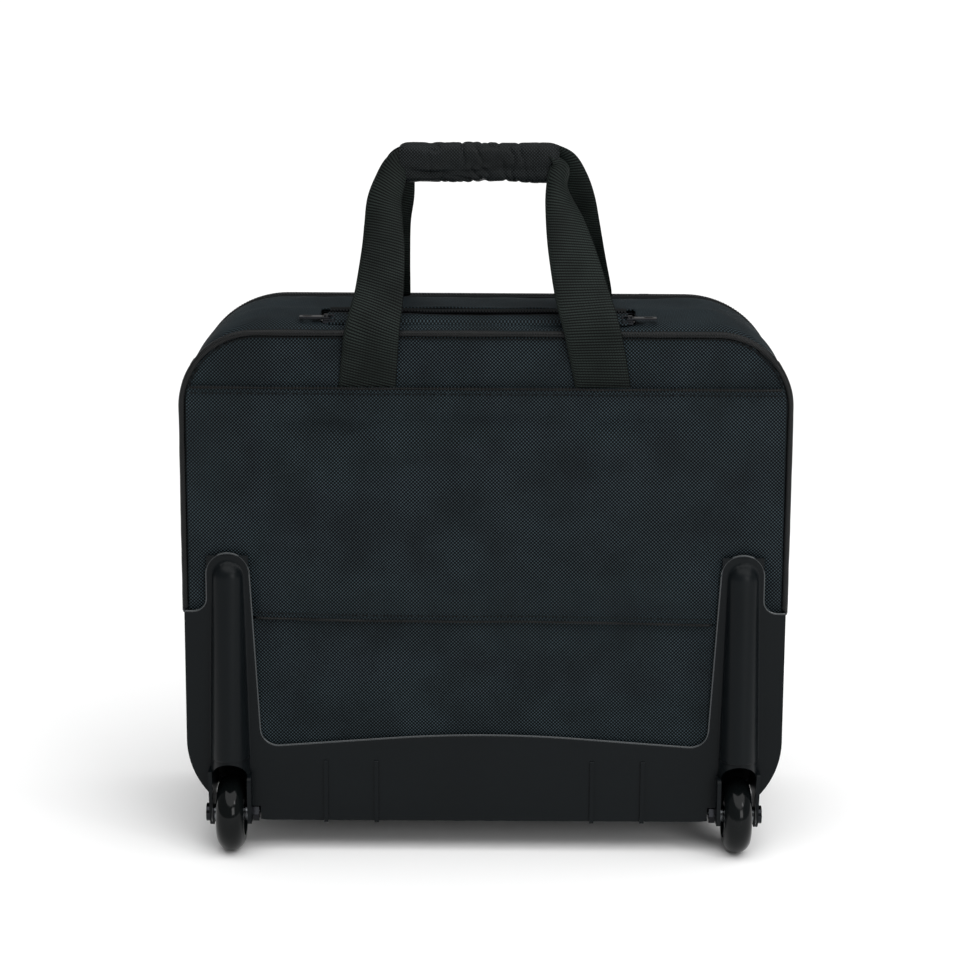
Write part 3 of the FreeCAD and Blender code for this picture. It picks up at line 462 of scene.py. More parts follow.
def softness(p, nx, nz, amount, puff, edge):
    # slow swells and finer creases, fading out at a seam; edge is 0 on the seam and 1 away from it
    slow = noise.noise(Vector((p.x / 70, p.y / 45, p.z / 70)))
    fine = noise.noise(Vector((p.x / 24, p.y / 15, p.z / 26)) + Vector((7, 3, 1)))
    push = (slow * puff + fine * amount) * edge
    return p + Vector((nx, 0, nz)) * push


def skin(outlines, depths, off, holes=None, puff=0.0, crease=0.0):
    rings = []
    for y in depths:
        o = outlineAt(outlines, y)
        ring = []
        fromSeam = min(y - depths[0], depths[-1] - y)
        edge = min(1.0, fromSeam / cloth["seam"])
        for x, z, nx, nz in outlinePoints(o, off, stops=slot["x"]):
            ring.append(softness(Vector((x, y, z)), nx, nz, crease, puff, edge))
        rings.append(ring)
    count = len(rings[0])
    faces = []
    for face in gridFaces(len(rings), count, False, True):
        spot = sum(((rings[i // count][i % count]) for i in face), Vector()) / 4
        inSlot = holes and spot.z > 340 and holes["x"][1] < spot.x < holes["x"][0] \
            and holes["y"][0] < spot.y < holes["y"][1]
        beside = abs(abs(spot.x) - well["x"]) < well["half"]
        inWell = beside and spot.z < well["top"] and spot.y < well["front"]
        if not inSlot and not inWell:
            faces.append(face)
    return [p for ring in rings for p in ring], faces


verts, faces = skin(caseOutlines, caseDepths, 0.0, slot, caseSkin["puff"], caseSkin["crease"])
caseBody = makePiece("caseBody", verts, faces, nylonWoven, "root", subdivide=1)
thick = caseBody.modifiers.new("cloth", "SOLIDIFY")
thick.thickness = cloth["thick"] * mm
thick.offset = -1
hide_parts("rear_gusset", "back_panel")

verts, faces = skin(caseOutlines, caseDepths[2:], -3.4, slot, 0.3, 0.3)
caseLining = makePiece("caseLining", verts, faces, liningWoven, "root")


def filledOutline(o, y, off, crown, rings=16, flip=1.0, wrinkle=0.0):
    # a panel across an outline, made of rings that shrink to a line, bulging by crown
    edge = outlinePoints(o, off)
    centre = Vector((0, y, (o[3] + o[4]) / 2))
    verts = []
    for k in range(rings + 1):
        f = 1 - (k / rings) * 0.985
        for x, z, nx, nz in edge:
            p = Vector((x * f, y, centre.z + (z - centre.z) * f))
            rise = crown * (1 - f ** 6)
            rise += wrinkle * min(1, 6 * (1 - f)) * noise.noise(Vector((p.x / 60, 5.0, p.z / 34)))
            p.y = y - flip * rise
            verts.append(p)
    n = len(edge)
    return verts, gridFaces(rings + 1, n, False, True) + [tuple(range(len(verts) - n, len(verts)))]


panelCut = {"crown": 1.0, "off": 1.6}  # the edge runs under the piping
verts, faces = filledOutline(caseOutlines[0], backY + 0.4, panelCut["off"], panelCut["crown"], wrinkle=0.5)
faces = [f for f in faces if max(verts[i].z for i in f) > well["top"]]  # the base is behind it lower down
backSheet = makePiece("backSheet", verts, faces, nylonWoven, "root")
print("case body made")

# moulded base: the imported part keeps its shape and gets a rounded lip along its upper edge
base = {"plateY": backY - 3.2, "wingZ": 182.0, "towerX": 184.6, "towerZ": 225.0, "towerR": 15.1,
        "sillZ": 92.0, "sillLowZ": 80.0, "sillLowX": 162.0, "lip": 0.8}


def arcThrough(before, corner, after, radius, steps=10):
    p = Vector(corner)
    a, b = (Vector(before) - p).normalized(), (Vector(after) - p).normalized()
    half = a.angle(b) / 2
    centre = p + (a + b).normalized() * radius / math.sin(half)
    start, end = p + a * radius / math.tan(half), p + b * radius / math.tan(half)
    u, w = start - centre, end - centre
    turn = math.atan2(u.x * w.y - u.y * w.x, u.dot(w))
    out = []
    for k in range(steps + 1):
        t = turn * k / steps
        c, s = math.cos(t), math.sin(t)
        out.append(centre + Vector((u.x * c - u.y * s, u.x * s + u.y * c)))
    return out


def roundedLine(corners):  # open polyline of (x, z, radius)
    out = [Vector(corners[0][:2])]
    for a, b, c in zip(corners, corners[1:], corners[2:]):
        if b[2]:
            out += arcThrough(a[:2], b[:2], c[:2], b[2], 24 if b[2] > 100 else 10)
        else:
            out.append(Vector(b[:2]))
    return out + [Vector(corners[-1][:2])]


wingHalf = 216.6
lipRight = [
    (0.0, base["sillZ"], 900.0),
    (base["sillLowX"], base["sillLowZ"], 13.0),
    (base["towerX"] - base["towerR"] - 0.2, base["towerZ"] - 12, 0.0),
    (base["towerX"] - base["towerR"], base["towerZ"], base["towerR"] - 0.2),
    (base["towerX"] + base["towerR"], base["towerZ"], base["towerR"] - 0.2),
    (base["towerX"] + base["towerR"], base["wingZ"], 10.0),
    (wingHalf, base["wingZ"], 0.0),
]
lipCorners = [(-x, z, r) for x, z, r in reversed(lipRight[1:])] + lipRight
plateLine = roundedLine(lipCorners)
lipPath = resample([Vector((p.x, base["plateY"] + 0.5, p.y)) for p in plateLine], 2.2)
verts, faces = tube(lipPath, base["lip"], (0, 1, 0), sides=10)
# the lip bead wears the lighter lip material: a painted highlight along the upper edge of the plate
baseLip = makePiece("baseLip", verts, faces, lipHighlightMoulded, "root")

# smooth covers over the wheel towers: a half round that runs out into the plate with a soft fillet
tower = {"x": 184.6, "foot": 73.5, "dome": 206.0, "top": 226.0, "half": (15.0, 10.8), "proud": (23.4, 7.6),
         "fillet": 4.2, "round": 11.6}


def towerHeight(x, z):
    t = min(1.0, max(0.0, (z - 26.0) / (tower["dome"] - 26.0)))
    half = tower["half"][0] + (tower["half"][1] - tower["half"][0]) * t
    proud = tower["proud"][0] + (tower["proud"][1] - tower["proud"][0]) * t
    s = math.hypot(x / half, max(0.0, z - tower["dome"]) / tower["round"])
    rise = proud * math.sqrt(1 - s * s) if s < 1 else -(s - 1) * half * 2.5
    blend = max(tower["fillet"] - abs(rise), 0.0) / tower["fillet"]
    return max(rise, 0.0) + blend * blend * tower["fillet"] / 4


def towerMesh(side):
    columns, rows, reach = 56, 96, 14.9
    verts = []
    for j in range(rows + 1):
        for i in range(columns + 1):
            x = reach * math.sin(math.pi / 2 * (2 * i / columns - 1))
            arch = 1.5 * (1 - (x / reach) ** 2)  # the mouth of the wheel well is a low arch
            z = tower["foot"] - 1.0 + arch + (tower["top"] - 1.6 - tower["foot"] - arch) * j / rows
            verts.append(Vector((side * tower["x"] + x, base["plateY"] - 0.25 - towerHeight(x, z), z)))
    inner = len(verts)
    for i in range(columns + 1):  # the mouth turns in
        p = verts[i]
        verts.append(Vector((p.x, base["plateY"] - 0.2, p.z - 0.4)))
    faces = gridFaces(rows + 1, columns + 1)
    faces += [(i, inner + i, inner + i + 1, i + 1) for i in range(columns)]
    return verts, faces


for name, side in (("left", -1), ("right", 1)):
    verts, faces = towerMesh(side)
    cover = makePiece(name + "TowerCover", verts, faces, baseMoulded, "root")
print("base dressed")


# how far a spot on the back is from the moulded plate: negative inside it
plateShape = [Vector((p.x, p.z)) for p in resample([Vector((q.x, 0, q.y)) for q in plateLine], 5.0)]
plateShape += [Vector((235.0, base["wingZ"])), Vector((235.0, 0.0)), Vector((-235.0, 0.0)),
               Vector((-235.0, base["wingZ"]))]


def plateDistance(x, z):
    p = Vector((x, z))
    best, inside = 1e9, False
    for a, b in zip(plateShape, plateShape[1:] + plateShape[:1]):
        d = b - a
        t = max(0.0, min(1.0, (p - a).dot(d) / max(d.length_squared, 1e-9)))
        best = min(best, (a + d * t - p).length)
        if (a.y > z) != (b.y > z) and x < a.x + (z - a.y) * (b.x - a.x) / (b.y - a.y):
            inside = not inside
    return -best if inside else best


# slip pocket on the back: one sheet of nylon, hemmed at its top and its open lower edge
pocket = {"top": 345.5, "hem": (176.9, 172.9), "proud": 2.4, "columns": 150, "rows": 64,
          "straps": (-84.0, 82.4), "stitchInset": 4.2,
          # soft dents where the trolley's guides press: (x, z, half width, half height, depth)
          "dents": [(-113, 316, 40, 5.0, 4.4), (-4, 320, 46, 5.5, 3.0), (105, 317, 42, 5.0, 4.8),
                    (-62, 300, 70, 8, -2.0), (72, 299, 70, 9, -2.2), (-150, 236, 34, 30, 1.2),
                    (40, 228, 90, 16, 1.2), (150, 262, 30, 36, 1.2), (0, 262, 120, 14, -1.0)]}


def pocketY(x, z):
    lift = pocket["proud"] + 1.6 * math.exp(-(x / 165) ** 4 - ((z - 270) / 62) ** 4)
    for cx, cz, wx, wz, deep in pocket["dents"]:
        lift -= deep * math.exp(-((x - cx) / wx) ** 2 - ((z - cz) / wz) ** 2)
    lift += 0.9 * noise.noise(Vector((x / 55, 1.0, z / 26)))
    lift += 0.35 * noise.noise(Vector((x / 18, 4.0, z / 14)))
    for cx in pocket["straps"]:  # the hem stands over the strap ends
        lift += 1.3 * math.exp(-((x - cx) / 17) ** 6 - ((z - pocket["top"]) / 9) ** 2)
    fromEdge = min(40 + pocket["top"] - z, sidePocket(z) - abs(x))
    lift = pocket["proud"] * 0.7 + (lift - pocket["proud"] * 0.7) * min(1.0, max(0.0, fromEdge / 16))
    near = plateDistance(x, z)
    tuck = min(1.0, max(0.0, (near - 0.5) / 7.0))
    tuck = tuck * tuck * (3 - 2 * tuck)
    lift = max(lift, 0.5) * tuck
    return backY - 0.35 - lift


def sidePocket(z):
    o = caseOutlines[0]
    half = o[1] + (o[2] - o[1]) * (z - o[3]) / (o[4] - o[3])
    if z > o[4] - o[6]:
        flat = o[2] - o[6]
        half = min(half, flat + math.sqrt(max(0, o[6] ** 2 - (z - (o[4] - o[6])) ** 2)))
    return half - 0.4


def pocketSpot(u, v):  # u across from -1 to 1, v up from 0 to 1
    lowZ = pocket["hem"][0] + (pocket["hem"][1] - pocket["hem"][0]) * (u + 1) / 2
    lowZ += 0.5 * math.sin(u * 5)
    z = lowZ + (pocket["top"] - lowZ) * v
    x = u * sidePocket(z)
    return Vector((x, pocketY(x, z), z))


verts = []
nu, nv = pocket["columns"], pocket["rows"]
for j in range(nv + 1):
    verts += [pocketSpot(-1 + 2 * i / nu, j / nv) for i in range(nu + 1)]
for turn in (1, 2, 3):  # both hems roll back to the panel
    for row in (0, nv):
        for i in range(nu + 1):
            p = verts[row * (nu + 1) + i].copy()
            proud = (backY - 0.1) - p.y
            a = turn / 3 * math.pi / 2
            p.y = backY - 0.1 - proud * math.cos(a)
            p.z += (-1 if row == 0 else 1) * 0.8 * math.sin(a)
            verts.append(p)
faces = gridFaces(nv + 1, nu + 1)
wide = nu + 1
for row in (0, nv):
    last = row * wide
    for turn in (1, 2, 3):
        new = (nv + 1) * wide + ((turn - 1) * 2 + (row > 0)) * wide
        for i in range(nu):
            quad = (last + i, last + i + 1, new + i + 1, new + i)
            faces.append(quad if row else quad[::-1])
        last = new
backPocket = makePiece("backPocket", verts, faces, nylonWoven, "root", subdivide=1)
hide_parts("back_pocket")

# the rolled hem beads are real, but they wear the darker piping cloth, which paints a dark shade line along
# each hem
hems = []
for v in (0.001, 0.999):  # a rolled edge along each hem
    line = [pocketSpot(-0.995 + 1.99 * k / 160, v) for k in range(161)]
    line = [p + Vector((0, 0.1, 0)) for p in line if plateDistance(p.x, p.z) > 1.0]
    hems.append(tube(resample(line, 3.0), 0.95, (0, 1, 0), sides=8, wobble=0.3))
verts, faces = joined(hems)
pocketHems = makePiece("pocketHems", verts, faces, pipingWoven, "root")

seams = []
inset = pocket["stitchInset"] / 170  # as a share of the pocket's height
for v in (inset, 1 - inset):
    line = [pocketSpot(-0.995 + 1.99 * k / 200, v) for k in range(201)]
    line = [p - Vector((0, 0.15, 0)) for p in line if plateDistance(p.x, p.z) > 2.5]
    seams.append(stitches(line, (0, -1, 0)))
verts, faces = joined(seams)
pocketStitches = makePiece("pocketStitches", verts, faces, threadSpun, "root")
print("back pocket made")

# piping: a cord in nylon round the back edge, down to the base
piping = {"radius": 2.5, "off": 2.7, "y": backY + 1.4, "endZ": base["wingZ"] + 2.0}
edge = [(x, z) for x, z, nx, nz in outlinePoints(caseOutlines[0], piping["off"])]
upper = [Vector((x, piping["y"], z)) for x, z in edge if z > piping["endZ"] - 4]
verts, faces = tube(resample(upper, 3.0), piping["radius"], (0, 1, 0), sides=14, wobble=0.1)
backPiping = makePiece("backPiping", verts, faces, pipingWoven, "root")
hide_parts("rear_piping")
# a thin welt bead just inside the piping, in the darkest tape cloth: the bead is real, its dark colour is
# painted shade for the groove between piping and panel
welt = [p - Vector((p.x, 0, p.z - 200)).normalized() * 3.4 + Vector((0, -1.3, 0)) for p in upper]
verts, faces = tube(resample(welt, 3.0), (0.8, 0.5), (0, 1, 0), sides=8)
pipingWeltGrooveShade = makePiece("pipingWeltGrooveShade", verts, faces, tapeWoven, "root")
print("piping made")

# carry straps: 39 mm webbing that gathers and folds where it enters the grip sleeve
# stations are (x, y, z, half width, twist in degrees, fold depth)
straps = {
    "rearLeft": ("rear_loop", [
        (-84.4, -74.6, 338.0, 20.3, 0, 0.0), (-83.9, -74.7, 346.0, 20.3, 0, 0.0),
        (-82.2, -75.6, 366.0, 20.0, 0, 0.0), (-80.6, -77.3, 383.0, 19.6, 0, 0.0),
        (-78.4, -73.6, 396.0, 18.6, 0, 0.2), (-75.6, -66.4, 411.0, 17.5, -2, 0.6),
        (-73.2, -55.0, 439.0, 15.6, -4, 1.2), (-73.2, -46.0, 458.0, 14.0, -6, 2.4),
        (-73.0, -38.5, 474.0, 12.8, -8, 3.4), (-69.4, -32.6, 487.0, 11.6, -10, 4.0),
        (-64.4, -28.0, 499.0, 9.8, -12, 4.0), (-56.0, -24.0, 506.5, 8.0, -14, 3.0)]),
    "rearRight": ("rear_loop", [
        (83.4, -74.6, 338.0, 19.5, 0, 0.0), (82.3, -74.7, 346.0, 19.5, 0, 0.0),
        (78.6, -75.6, 366.0, 19.8, 0, 0.0), (74.9, -77.3, 383.0, 19.9, 0, 0.0),
        (71.6, -73.6, 396.0, 19.8, 0, 0.2), (67.0, -66.4, 411.0, 19.4, 2, 0.6),
        (60.2, -55.0, 439.0, 17.2, 5, 1.2), (55.8, -46.0, 458.0, 14.6, 9, 2.6),
        (52.0, -38.5, 474.0, 11.0, 16, 4.4), (51.0, -32.5, 486.0, 8.8, 30, 5.2),
        (53.0, -27.5, 498.0, 10.0, 48, 4.4), (44.0, -24.0, 504.0, 8.4, 80, 4.0)]),
    "frontLeft": ("front_loop", [
        (-76.6, 50.4, 392.0, 19.6, 0, 0.0), (-76.4, 44.0, 393.2, 19.6, 0, 0.0),
        (-76.0, 37.4, 395.0, 19.6, 0, 0.0), (-75.4, 33.0, 402.0, 19.2, 0, 0.2),
        (-73.6, 22.0, 424.0, 17.6, 3, 0.6), (-70.6, 8.0, 452.0, 15.6, 6, 1.2),
        (-66.6, -1.0, 471.0, 14.6, 9, 2.0), (-64.0, -6.4, 486.0, 12.6, 10, 2.4),
        (-61.0, -10.4, 499.0, 10.8, 14, 2.8), (-52.0, -14.4, 506.5, 8.4, 16, 3.0)]),
    "frontRight": ("front_loop", [
        (73.8, 50.4, 392.0, 19.6, 0, 0.0), (73.7, 44.0, 393.2, 19.6, 0, 0.0),
        (73.5, 37.4, 395.0, 19.6, 0, 0.0), (72.8, 33.0, 402.0, 19.2, 0, 0.2),
        (69.6, 22.0, 424.0, 17.8, -3, 0.6), (66.2, 8.0, 452.0, 15.8, -6, 1.2),
        (63.6, -1.0, 471.0, 14.4, -9, 2.0), (59.8, -6.4, 486.0, 12.6, -10, 2.4),
        (53.4, -10.4, 499.0, 10.8, -14, 2.8), (43.0, -14.4, 506.5, 8.4, -16, 3.0)]),
}
webbing = {"thick": 1.7, "across": 12, "steps": 7,
           # from the sewn end, which stays with the case, to the part that swings
           "bend": {"rear_loop": ((0, -76.8, 378.0), (0, -75.6, 390.0)),
                    "front_loop": ((0, 38.0, 393.6), (0, 32.5, 403.5))}}


def strapMesh(stations, thick, steps=7, across=12):
    rows = smoothThrough(stations, steps)
    centres = [Vector(r[:3]) for r in rows]
    verts, uvs, run = [], [], 0.0
    for i, row in enumerate(rows):
        tangent = (centres[min(i + 1, len(rows) - 1)] - centres[max(i - 1, 0)]).normalized()
        run += (centres[i] - centres[i - 1]).length if i else 0.0
        flat = Vector((1, 0, 0))
        flat = (flat - tangent * flat.dot(tangent)).normalized()
        flat = Matrix.Rotation(math.radians(row[4]), 3, tangent) @ flat
        face = tangent.cross(flat).normalized()
        for k in range(2 * across):
            back = k >= across
            s = -1 + 2 * (k if not back else 2 * across - 1 - k) / (across - 1)
            bow = row[5] * (s * s - 0.4)
            edge = thick / 2 * math.sqrt(max(0.0, 1 - abs(s) ** 8))
            verts.append(centres[i] + flat * row[3] * s + face * (bow + (-edge if back else edge)))
            uvs.append((20.0 * s + (60 if back else 0), run))
    faces = gridFaces(len(rows), 2 * across, False, True)
    faces += [tuple(range(2 * across)), tuple(range(len(verts) - 2 * across, len(verts)))]
    return verts, faces, uvs


for name, (body, stations) in straps.items():
    verts, faces, uvs = strapMesh(stations, webbing["thick"], webbing["steps"], webbing["across"])
    strap = makePiece(name + "Strap", verts, faces, webbingWoven, None, uvs, subdivide=1)
    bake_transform(strap)
    node = "rear_webbing" if body == "rear_loop" else "front_webbing"
    tab = "rear_strap_tabs" if body == "rear_loop" else "front_strap_tabs"
    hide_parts(node, tab)
print("straps made")

# grip sleeve: padded nylon wrapped round both loops, wrinkled by the hand
sleeve = {"x": (-62.5, 51.0), "y": (-33.4, -13.0), "z": (483.6, 513.6), "rings": 120, "sides": 56,
          "lap": 2.0, "gather": 1.7}


def sleeveMesh():
    x0, x1 = sleeve["x"]
    cy, cz = sum(sleeve["y"]) / 2, sum(sleeve["z"]) / 2
    hy, hz = (sleeve["y"][1] - sleeve["y"][0]) / 2, (sleeve["z"][1] - sleeve["z"][0]) / 2
    verts, n, m = [], sleeve["rings"], sleeve["sides"]
    for i in range(n + 1):
        t = i / n
        x = x0 + (x1 - x0) * t
        end = min(t, 1 - t) * (x1 - x0)
        close = 1 - 0.22 * math.exp(-end / 3.0)
        arch = 1.6 * (1 - (2 * t - 1) ** 2)
        for k in range(m):
            a = tau * k / m
            c, s = math.cos(a), math.sin(a)
            ry = hy * math.copysign(abs(c) ** 0.8, c) * close
            rz = hz * math.copysign(abs(s) ** 0.75, s) * close
            if s < 0:
                rz += arch * -s
            p = Vector((x, cy + ry, cz + rz))
            lapAt = -0.28 + 0.1 * math.sin(x / 19) + 0.05 * math.sin(x / 5.3)
            lap = sleeve["lap"] * math.exp(-((s - lapAt) / 0.13) ** 2) * (1 if c < 0 else 0) * min(1, end / 8)
            gather = math.exp(-((t - 0.5) / 0.33) ** 4)
            q = Vector((x / 9 + 0.5 * s, c * 1.1, s * 1.3))
            crease = 1 - abs(noise.noise(q)) * 3.0
            swell = 0.9 * noise.noise(Vector((x / 22, c * 1.4, s * 1.4)) + Vector((3, 1, 4)))
            depth = -sleeve["gather"] * gather * max(0.0, crease) ** 2 + swell - lap - 0.3
            verts.append(p + Vector((0, c, s)) * depth)
    faces = gridFaces(n + 1, m, False, True)
    for end in (0, n):
        ring = [verts[end * m + k] for k in range(m)]
        middle = sum(ring, Vector()) / m
        start = len(verts)
        inward = Vector((1.2 if end == 0 else -1.2, 0, 0))
        verts += [p.lerp(middle, 0.16) for p in ring]
        verts += [p.lerp(middle, 0.3) + inward for p in ring]
        for k in range(m):
            k2 = (k + 1) % m
            faces.append((end * m + k, end * m + k2, start + k2, start + k))
            faces.append((start + k, start + k2, start + m + k2, start + m + k))
        faces.append(tuple(start + m + k for k in range(m)))
    return verts, faces


verts, faces = sleeveMesh()
gripSleeve = makePiece("gripSleeve", verts, faces, sleeveWoven, "rear_loop", subdivide=1)
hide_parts("grip_wrap")
print("grip sleeve made")


# zips: woven tape and wound nylon coil
def zipCoil(path, toward, lift, teeth):
    # path runs where the two rows meet; toward is the direction of the tape, per point or fixed
    parts = []
    spots = resample(path, teeth["pitch"])
    sizes = (teeth["deep"], teeth["wide"], teeth["high"])
    for a, b in zip(spots, spots[1:]):
        along = (b - a).normalized()
        up = Vector(lift(a) if callable(lift) else lift).normalized()
        out = along.cross(up).normalized()
        if out.dot(Vector(toward)) < 0:
            out = -out
        parts.append(block((a + b) / 2 + out * teeth["deep"] * 0.5, (out, along, up), sizes))
    return joined(parts)


coil = {"pitch": 2.2, "deep": 2.6, "wide": 1.25, "high": 1.9}
slotZ = (389.2, 394.0)
slotSpan = (slot["x"][1] + 6, slot["x"][0] - 6)


def slotLine(y, z, sag):  # the edge of the open slot, drooping between its ends
    out = []
    for k in range(61):
        t = k / 60
        x = slotSpan[0] + (slotSpan[1] - slotSpan[0]) * t
        droop = sag * math.sin(math.pi * t) ** 2 + 0.4 * noise.noise(Vector((x / 22, y, 0)))
        out.append(Vector((x, y, z - droop)))
    return out


def bandMesh(line, across, thick, up):
    # a flat band beside a line: across is its width as a vector
    width, lift = Vector(across), Vector(up) * thick / 2
    verts = []
    for p in line:
        verts += [p + lift, p + width / 2 + lift * 1.3, p + width + lift,
                  p + width - lift, p + width / 2 - lift, p - lift]
    faces = gridFaces(len(line), 6, False, True)
    faces += [tuple(range(6)), tuple(range(len(verts) - 6, len(verts)))]
    return verts, faces


farLine = slotLine(slot["y"][1] - 4.6, slotZ[1] + 0.4, 0.6)
nearLine = slotLine(slot["y"][0] + 5.0, slotZ[0] + 6.4, 1.6)
verts, faces = bandMesh(farLine, (0, 6.4, 1.0), 0.8, (0, -0.3, 1))
slotTape = makePiece("slotTape", verts, faces, tapeWoven, "root")
verts, faces = bandMesh(nearLine, (0, -8.4, -6.6), 1.2, (0, -0.5, 1))
slotLip = makePiece("slotLip", verts, faces, nylonWoven, "root")
verts, faces = joined([
    zipCoil(farLine, (0, -1, 0), (0, -0.4, 1), coil),
    zipCoil(nearLine, (0, 1, 0), (0, 0.2, 1), coil)])
slotCoils = makePiece("slotCoils", verts, faces, coilWound, "root", smooth=False)
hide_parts("handle_zip_rear", "handle_zip_front")


def aroundCase(outline, y, off, fromZ):  # over the top of the case, from one side's height to the other's
    spots = [(x, z) for x, z, nx, nz in outlinePoints(outline, off) if z >= fromZ]
    right = [s for s in spots if s[0] >= 0]
    left = [s for s in spots if s[0] < 0]
    ordered = right + left
    return [Vector((x, y, z)) for x, z in ordered]


mainZip = {"fromZ": 84.0, "tapeOff": 0.9, "coilOff": 1.1, "tapeWide": 9.0}
for side, body, y, width, node in (
        ("Rear", "root", zipY - 0.3, -mainZip["tapeWide"], "main_zip_rear"),
        ("Lid", "lid", lidY + 0.3, mainZip["tapeWide"], "main_zip_lid")):
    outline = caseOutlines[-1] if side == "Rear" else lidOutlines[0]
    line = resample(aroundCase(outline, y, mainZip["tapeOff"], mainZip["fromZ"]), 3.0)
    verts = []
    for p, sideways, lift in frames(line, (0, 1, 0)):
        out = lift if lift.dot(Vector((p.x, 0, p.z - 200))) > 0 else -lift
        wide = Vector((0, width, 0))
        verts += [p + out * 0.4, p + wide * 0.6 + out * 0.5, p + wide + out * 0.3,
                  p + wide - out * 0.9, p - out * 0.9]
    faces = gridFaces(len(line), 5, False, True) + [tuple(range(5)), tuple(range(len(verts) - 5, len(verts)))]
    tape = makePiece("mainTape" + side, verts, faces, tapeWoven, body)
    centre = Vector((0, 0, 200))
    coilLine = resample(aroundCase(outline, y, mainZip["coilOff"] + 0.4, mainZip["fromZ"]), 3.0)
    verts, faces = zipCoil(coilLine, (0, width, 0), lambda p: Vector((p.x, 0, p.z)) - centre,
                           dict(coil, deep=2.4, high=1.3))
    teeth = makePiece("mainCoil" + side, verts, faces, coilWound, body, smooth=False)
    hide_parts(node)
print("zips made")

# lid: padded frame, lining and front panel
lidDepths = [lidY, lidY + 2, lidY + 5, 72, 76, 80, 84, 88, 91, frontY - 3.8]
verts, faces = skin(lidOutlines, lidDepths, 0.0, None, 0.5, 0.4)
lidSkin = makePiece("lidSkin", verts, faces, nylonWoven, "lid", subdivide=1)
thick = lidSkin.modifiers.new("cloth", "SOLIDIFY")
thick.thickness = cloth["thick"] * mm
thick.offset = -1
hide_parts("lid_gusset")

verts, faces = filledOutline(lidOutlines[0], lidY + 1.2, -2.0, 0.8, rings=12)
lidLining = makePiece("lidLining", verts, faces, liningWoven, "lid")
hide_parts("lid_panel")

frontOutline = (frontY, 210.0, 212.0, underZ + 2.7, 378.0, 54.0, 52.0)
verts, faces = filledOutline(frontOutline, frontY - 2.6, -1.2, 2.4, rings=20, flip=-1.0, wrinkle=0.8)
frontPanel = makePiece("frontPanel", verts, faces, nylonWoven, "pocket_front")
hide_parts("pocket_panel")

edge = [Vector((x, frontY - 2.0, z)) for x, z, nx, nz in outlinePoints(frontOutline, 0.6)]
verts, faces = tube(resample(edge, 3.5, True), 2.2, (0, 1, 0), True, 12, 0.1)
frontPiping = makePiece("frontPiping", verts, faces, pipingWoven, "pocket_front")
print("lid made")

# carried-over parts and their materials
finishes = {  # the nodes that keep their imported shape
    baseMoulded: ["base_shell", "tube_sockets", "tube_guides", "trolley_bracket", "mid_collars", "grip_base",
                  "grip_cover", "lock_plugs", "push_link", "feet"],
    hubMoulded: ["left_hub", "right_hub", "release_button"],
    tyreCast: ["left_tyre", "right_tyre"],
    steelPlated: ["foot_screws", "axle_washers", "left_bearings", "right_bearings",
                  "button_spring", "push_rods"],
    tubeAnodised: ["outer_tubes", "mid_tubes", "inner_tubes"],
    sliderPlated: ["axle_bolts", "axle_nuts", "handle_slider_left", "handle_slider_right", "main_slider",
                   "pocket_slider", "handle_pull_left", "handle_pull_right", "main_pull", "pocket_pull",
                   "left_dring", "right_dring"],
    webbingWoven: ["dring_tabs"],
    liningWoven: ["laptop_sleeve", "divider"],
    boardExtruded: ["frame_board", "bottom_board"],
}
for material, nodes in finishes.items():
    for node in nodes:
        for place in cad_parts[node].material_slots:
            place.material = material
print("finishes set")

# studio: pale floor and surround, soft lights, long lens
studio = {"floor": "#f4f4f4", "surround": 0.24, "floorSize": 60.0}
camera = {"distance": 1.900, "elevation": 13.0, "roll": 0.3, "lens": 94.8, "aim": (-0.0005, 0.0065, 0.2565)}
sun = {"power": 3.2, "spread": 80.0, "from": (0.12, -0.25, 1.0)}
lights = {  # place, size, power
    "keyRight": ((1.4, -1.3, 1.6), 0.35, 4.0),
    "softboxRight": ((1.0, -1.9, 0.75), 0.8, 12.0),
}

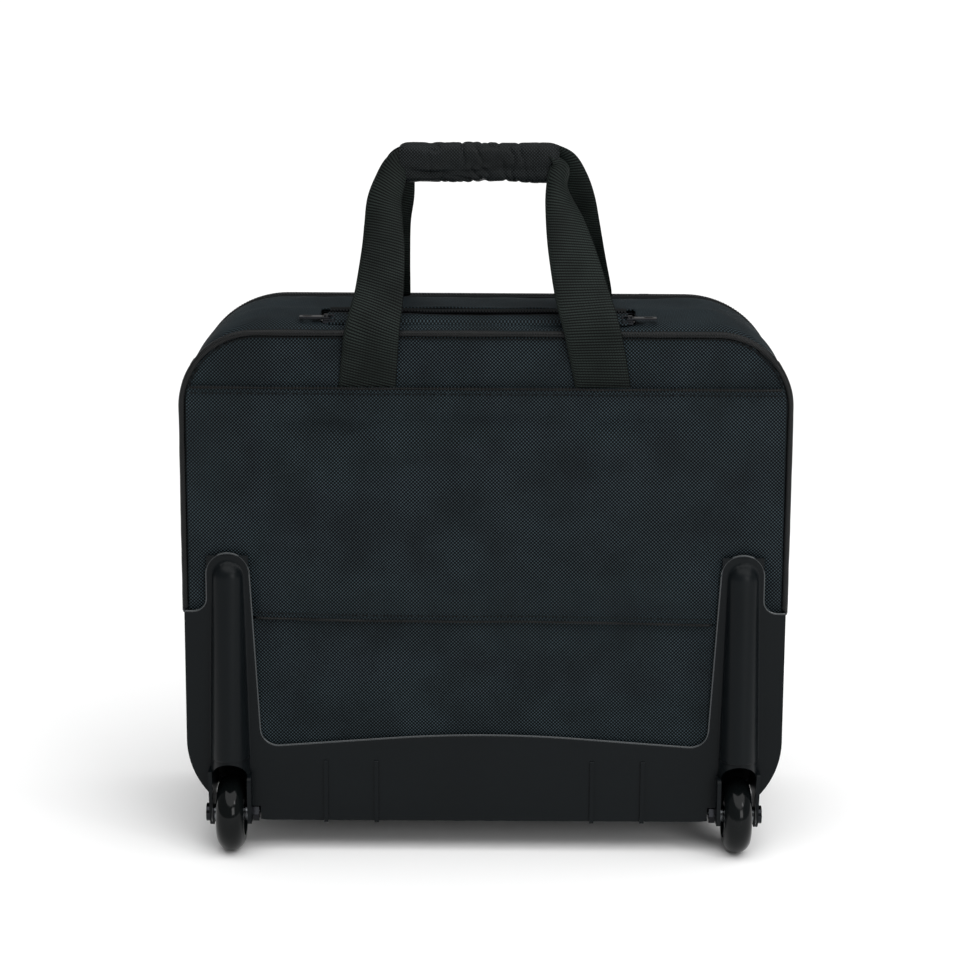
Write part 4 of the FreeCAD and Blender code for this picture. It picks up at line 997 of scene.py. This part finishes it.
half = studio["floorSize"] / 2
floorMesh = bpy.data.meshes.new("floor")
corners = [(-half, -half, 0), (half, -half, 0), (half, half, 0), (-half, half, 0)]
floorMesh.from_pydata(corners, [], [(0, 1, 2, 3)])
floor = bpy.data.objects.new("floor", floorMesh)
bpy.context.scene.collection.objects.link(floor)
paper, tree, bsdf = newMaterial("paperMatt", Roughness=0.9, Specular_IOR_Level=0.1)
bsdf.inputs["Base Color"].default_value = hexToLinear(studio["floor"])
floorMesh.materials.append(paper)

world = bpy.data.worlds.new("studio")
bpy.context.scene.world = world
world.use_nodes = True
sky = world.node_tree
backing = sky.nodes["Background"]
backing.inputs[0].default_value = (1.0, 1.0, 1.0, 1.0)
ray = addNode(sky, "LightPath")  # the backdrop itself is plain white, whatever light it gives
glow = addNode(sky, "MapRange", {0: ray.outputs["Is Camera Ray"], 3: studio["surround"], 4: 1.0})
sky.links.new(glow.outputs[0], backing.inputs[1])
bpy.context.scene.view_settings.view_transform = "Standard"

sunData = bpy.data.lights.new("softSun", "SUN")
sunData.energy = sun["power"]
sunData.angle = math.radians(sun["spread"])
sunLamp = bpy.data.objects.new("softSun", sunData)
sunLamp.rotation_euler = Vector(sun["from"]).to_track_quat("Z", "Y").to_euler()
bpy.context.scene.collection.objects.link(sunLamp)
for name, (place, size, power) in lights.items():
    data = bpy.data.lights.new(name, "AREA")
    data.shape = "SQUARE"
    data.size = size
    data.energy = power
    lamp = bpy.data.objects.new(name, data)
    lamp.location = place
    lamp.rotation_euler = (Vector((0, 0, 0.25)) - Vector(place)).to_track_quat("-Z", "Y").to_euler()
    bpy.context.scene.collection.objects.link(lamp)

lensData = bpy.data.cameras.new("camera")
lensData.lens = camera["lens"]
lensData.sensor_width = 36.0
eye = bpy.data.objects.new("camera", lensData)
tilt = math.radians(camera["elevation"])
aim = Vector(camera["aim"])
eye.location = aim + Vector((0, -math.cos(tilt), math.sin(tilt))) * camera["distance"]
look = (aim - eye.location).to_track_quat("-Z", "Y").to_matrix()
eye.rotation_euler = (look @ Matrix.Rotation(math.radians(camera["roll"]), 3, "Z")).to_euler()
bpy.context.scene.collection.objects.link(eye)
bpy.context.scene.camera = eye
print("studio set")
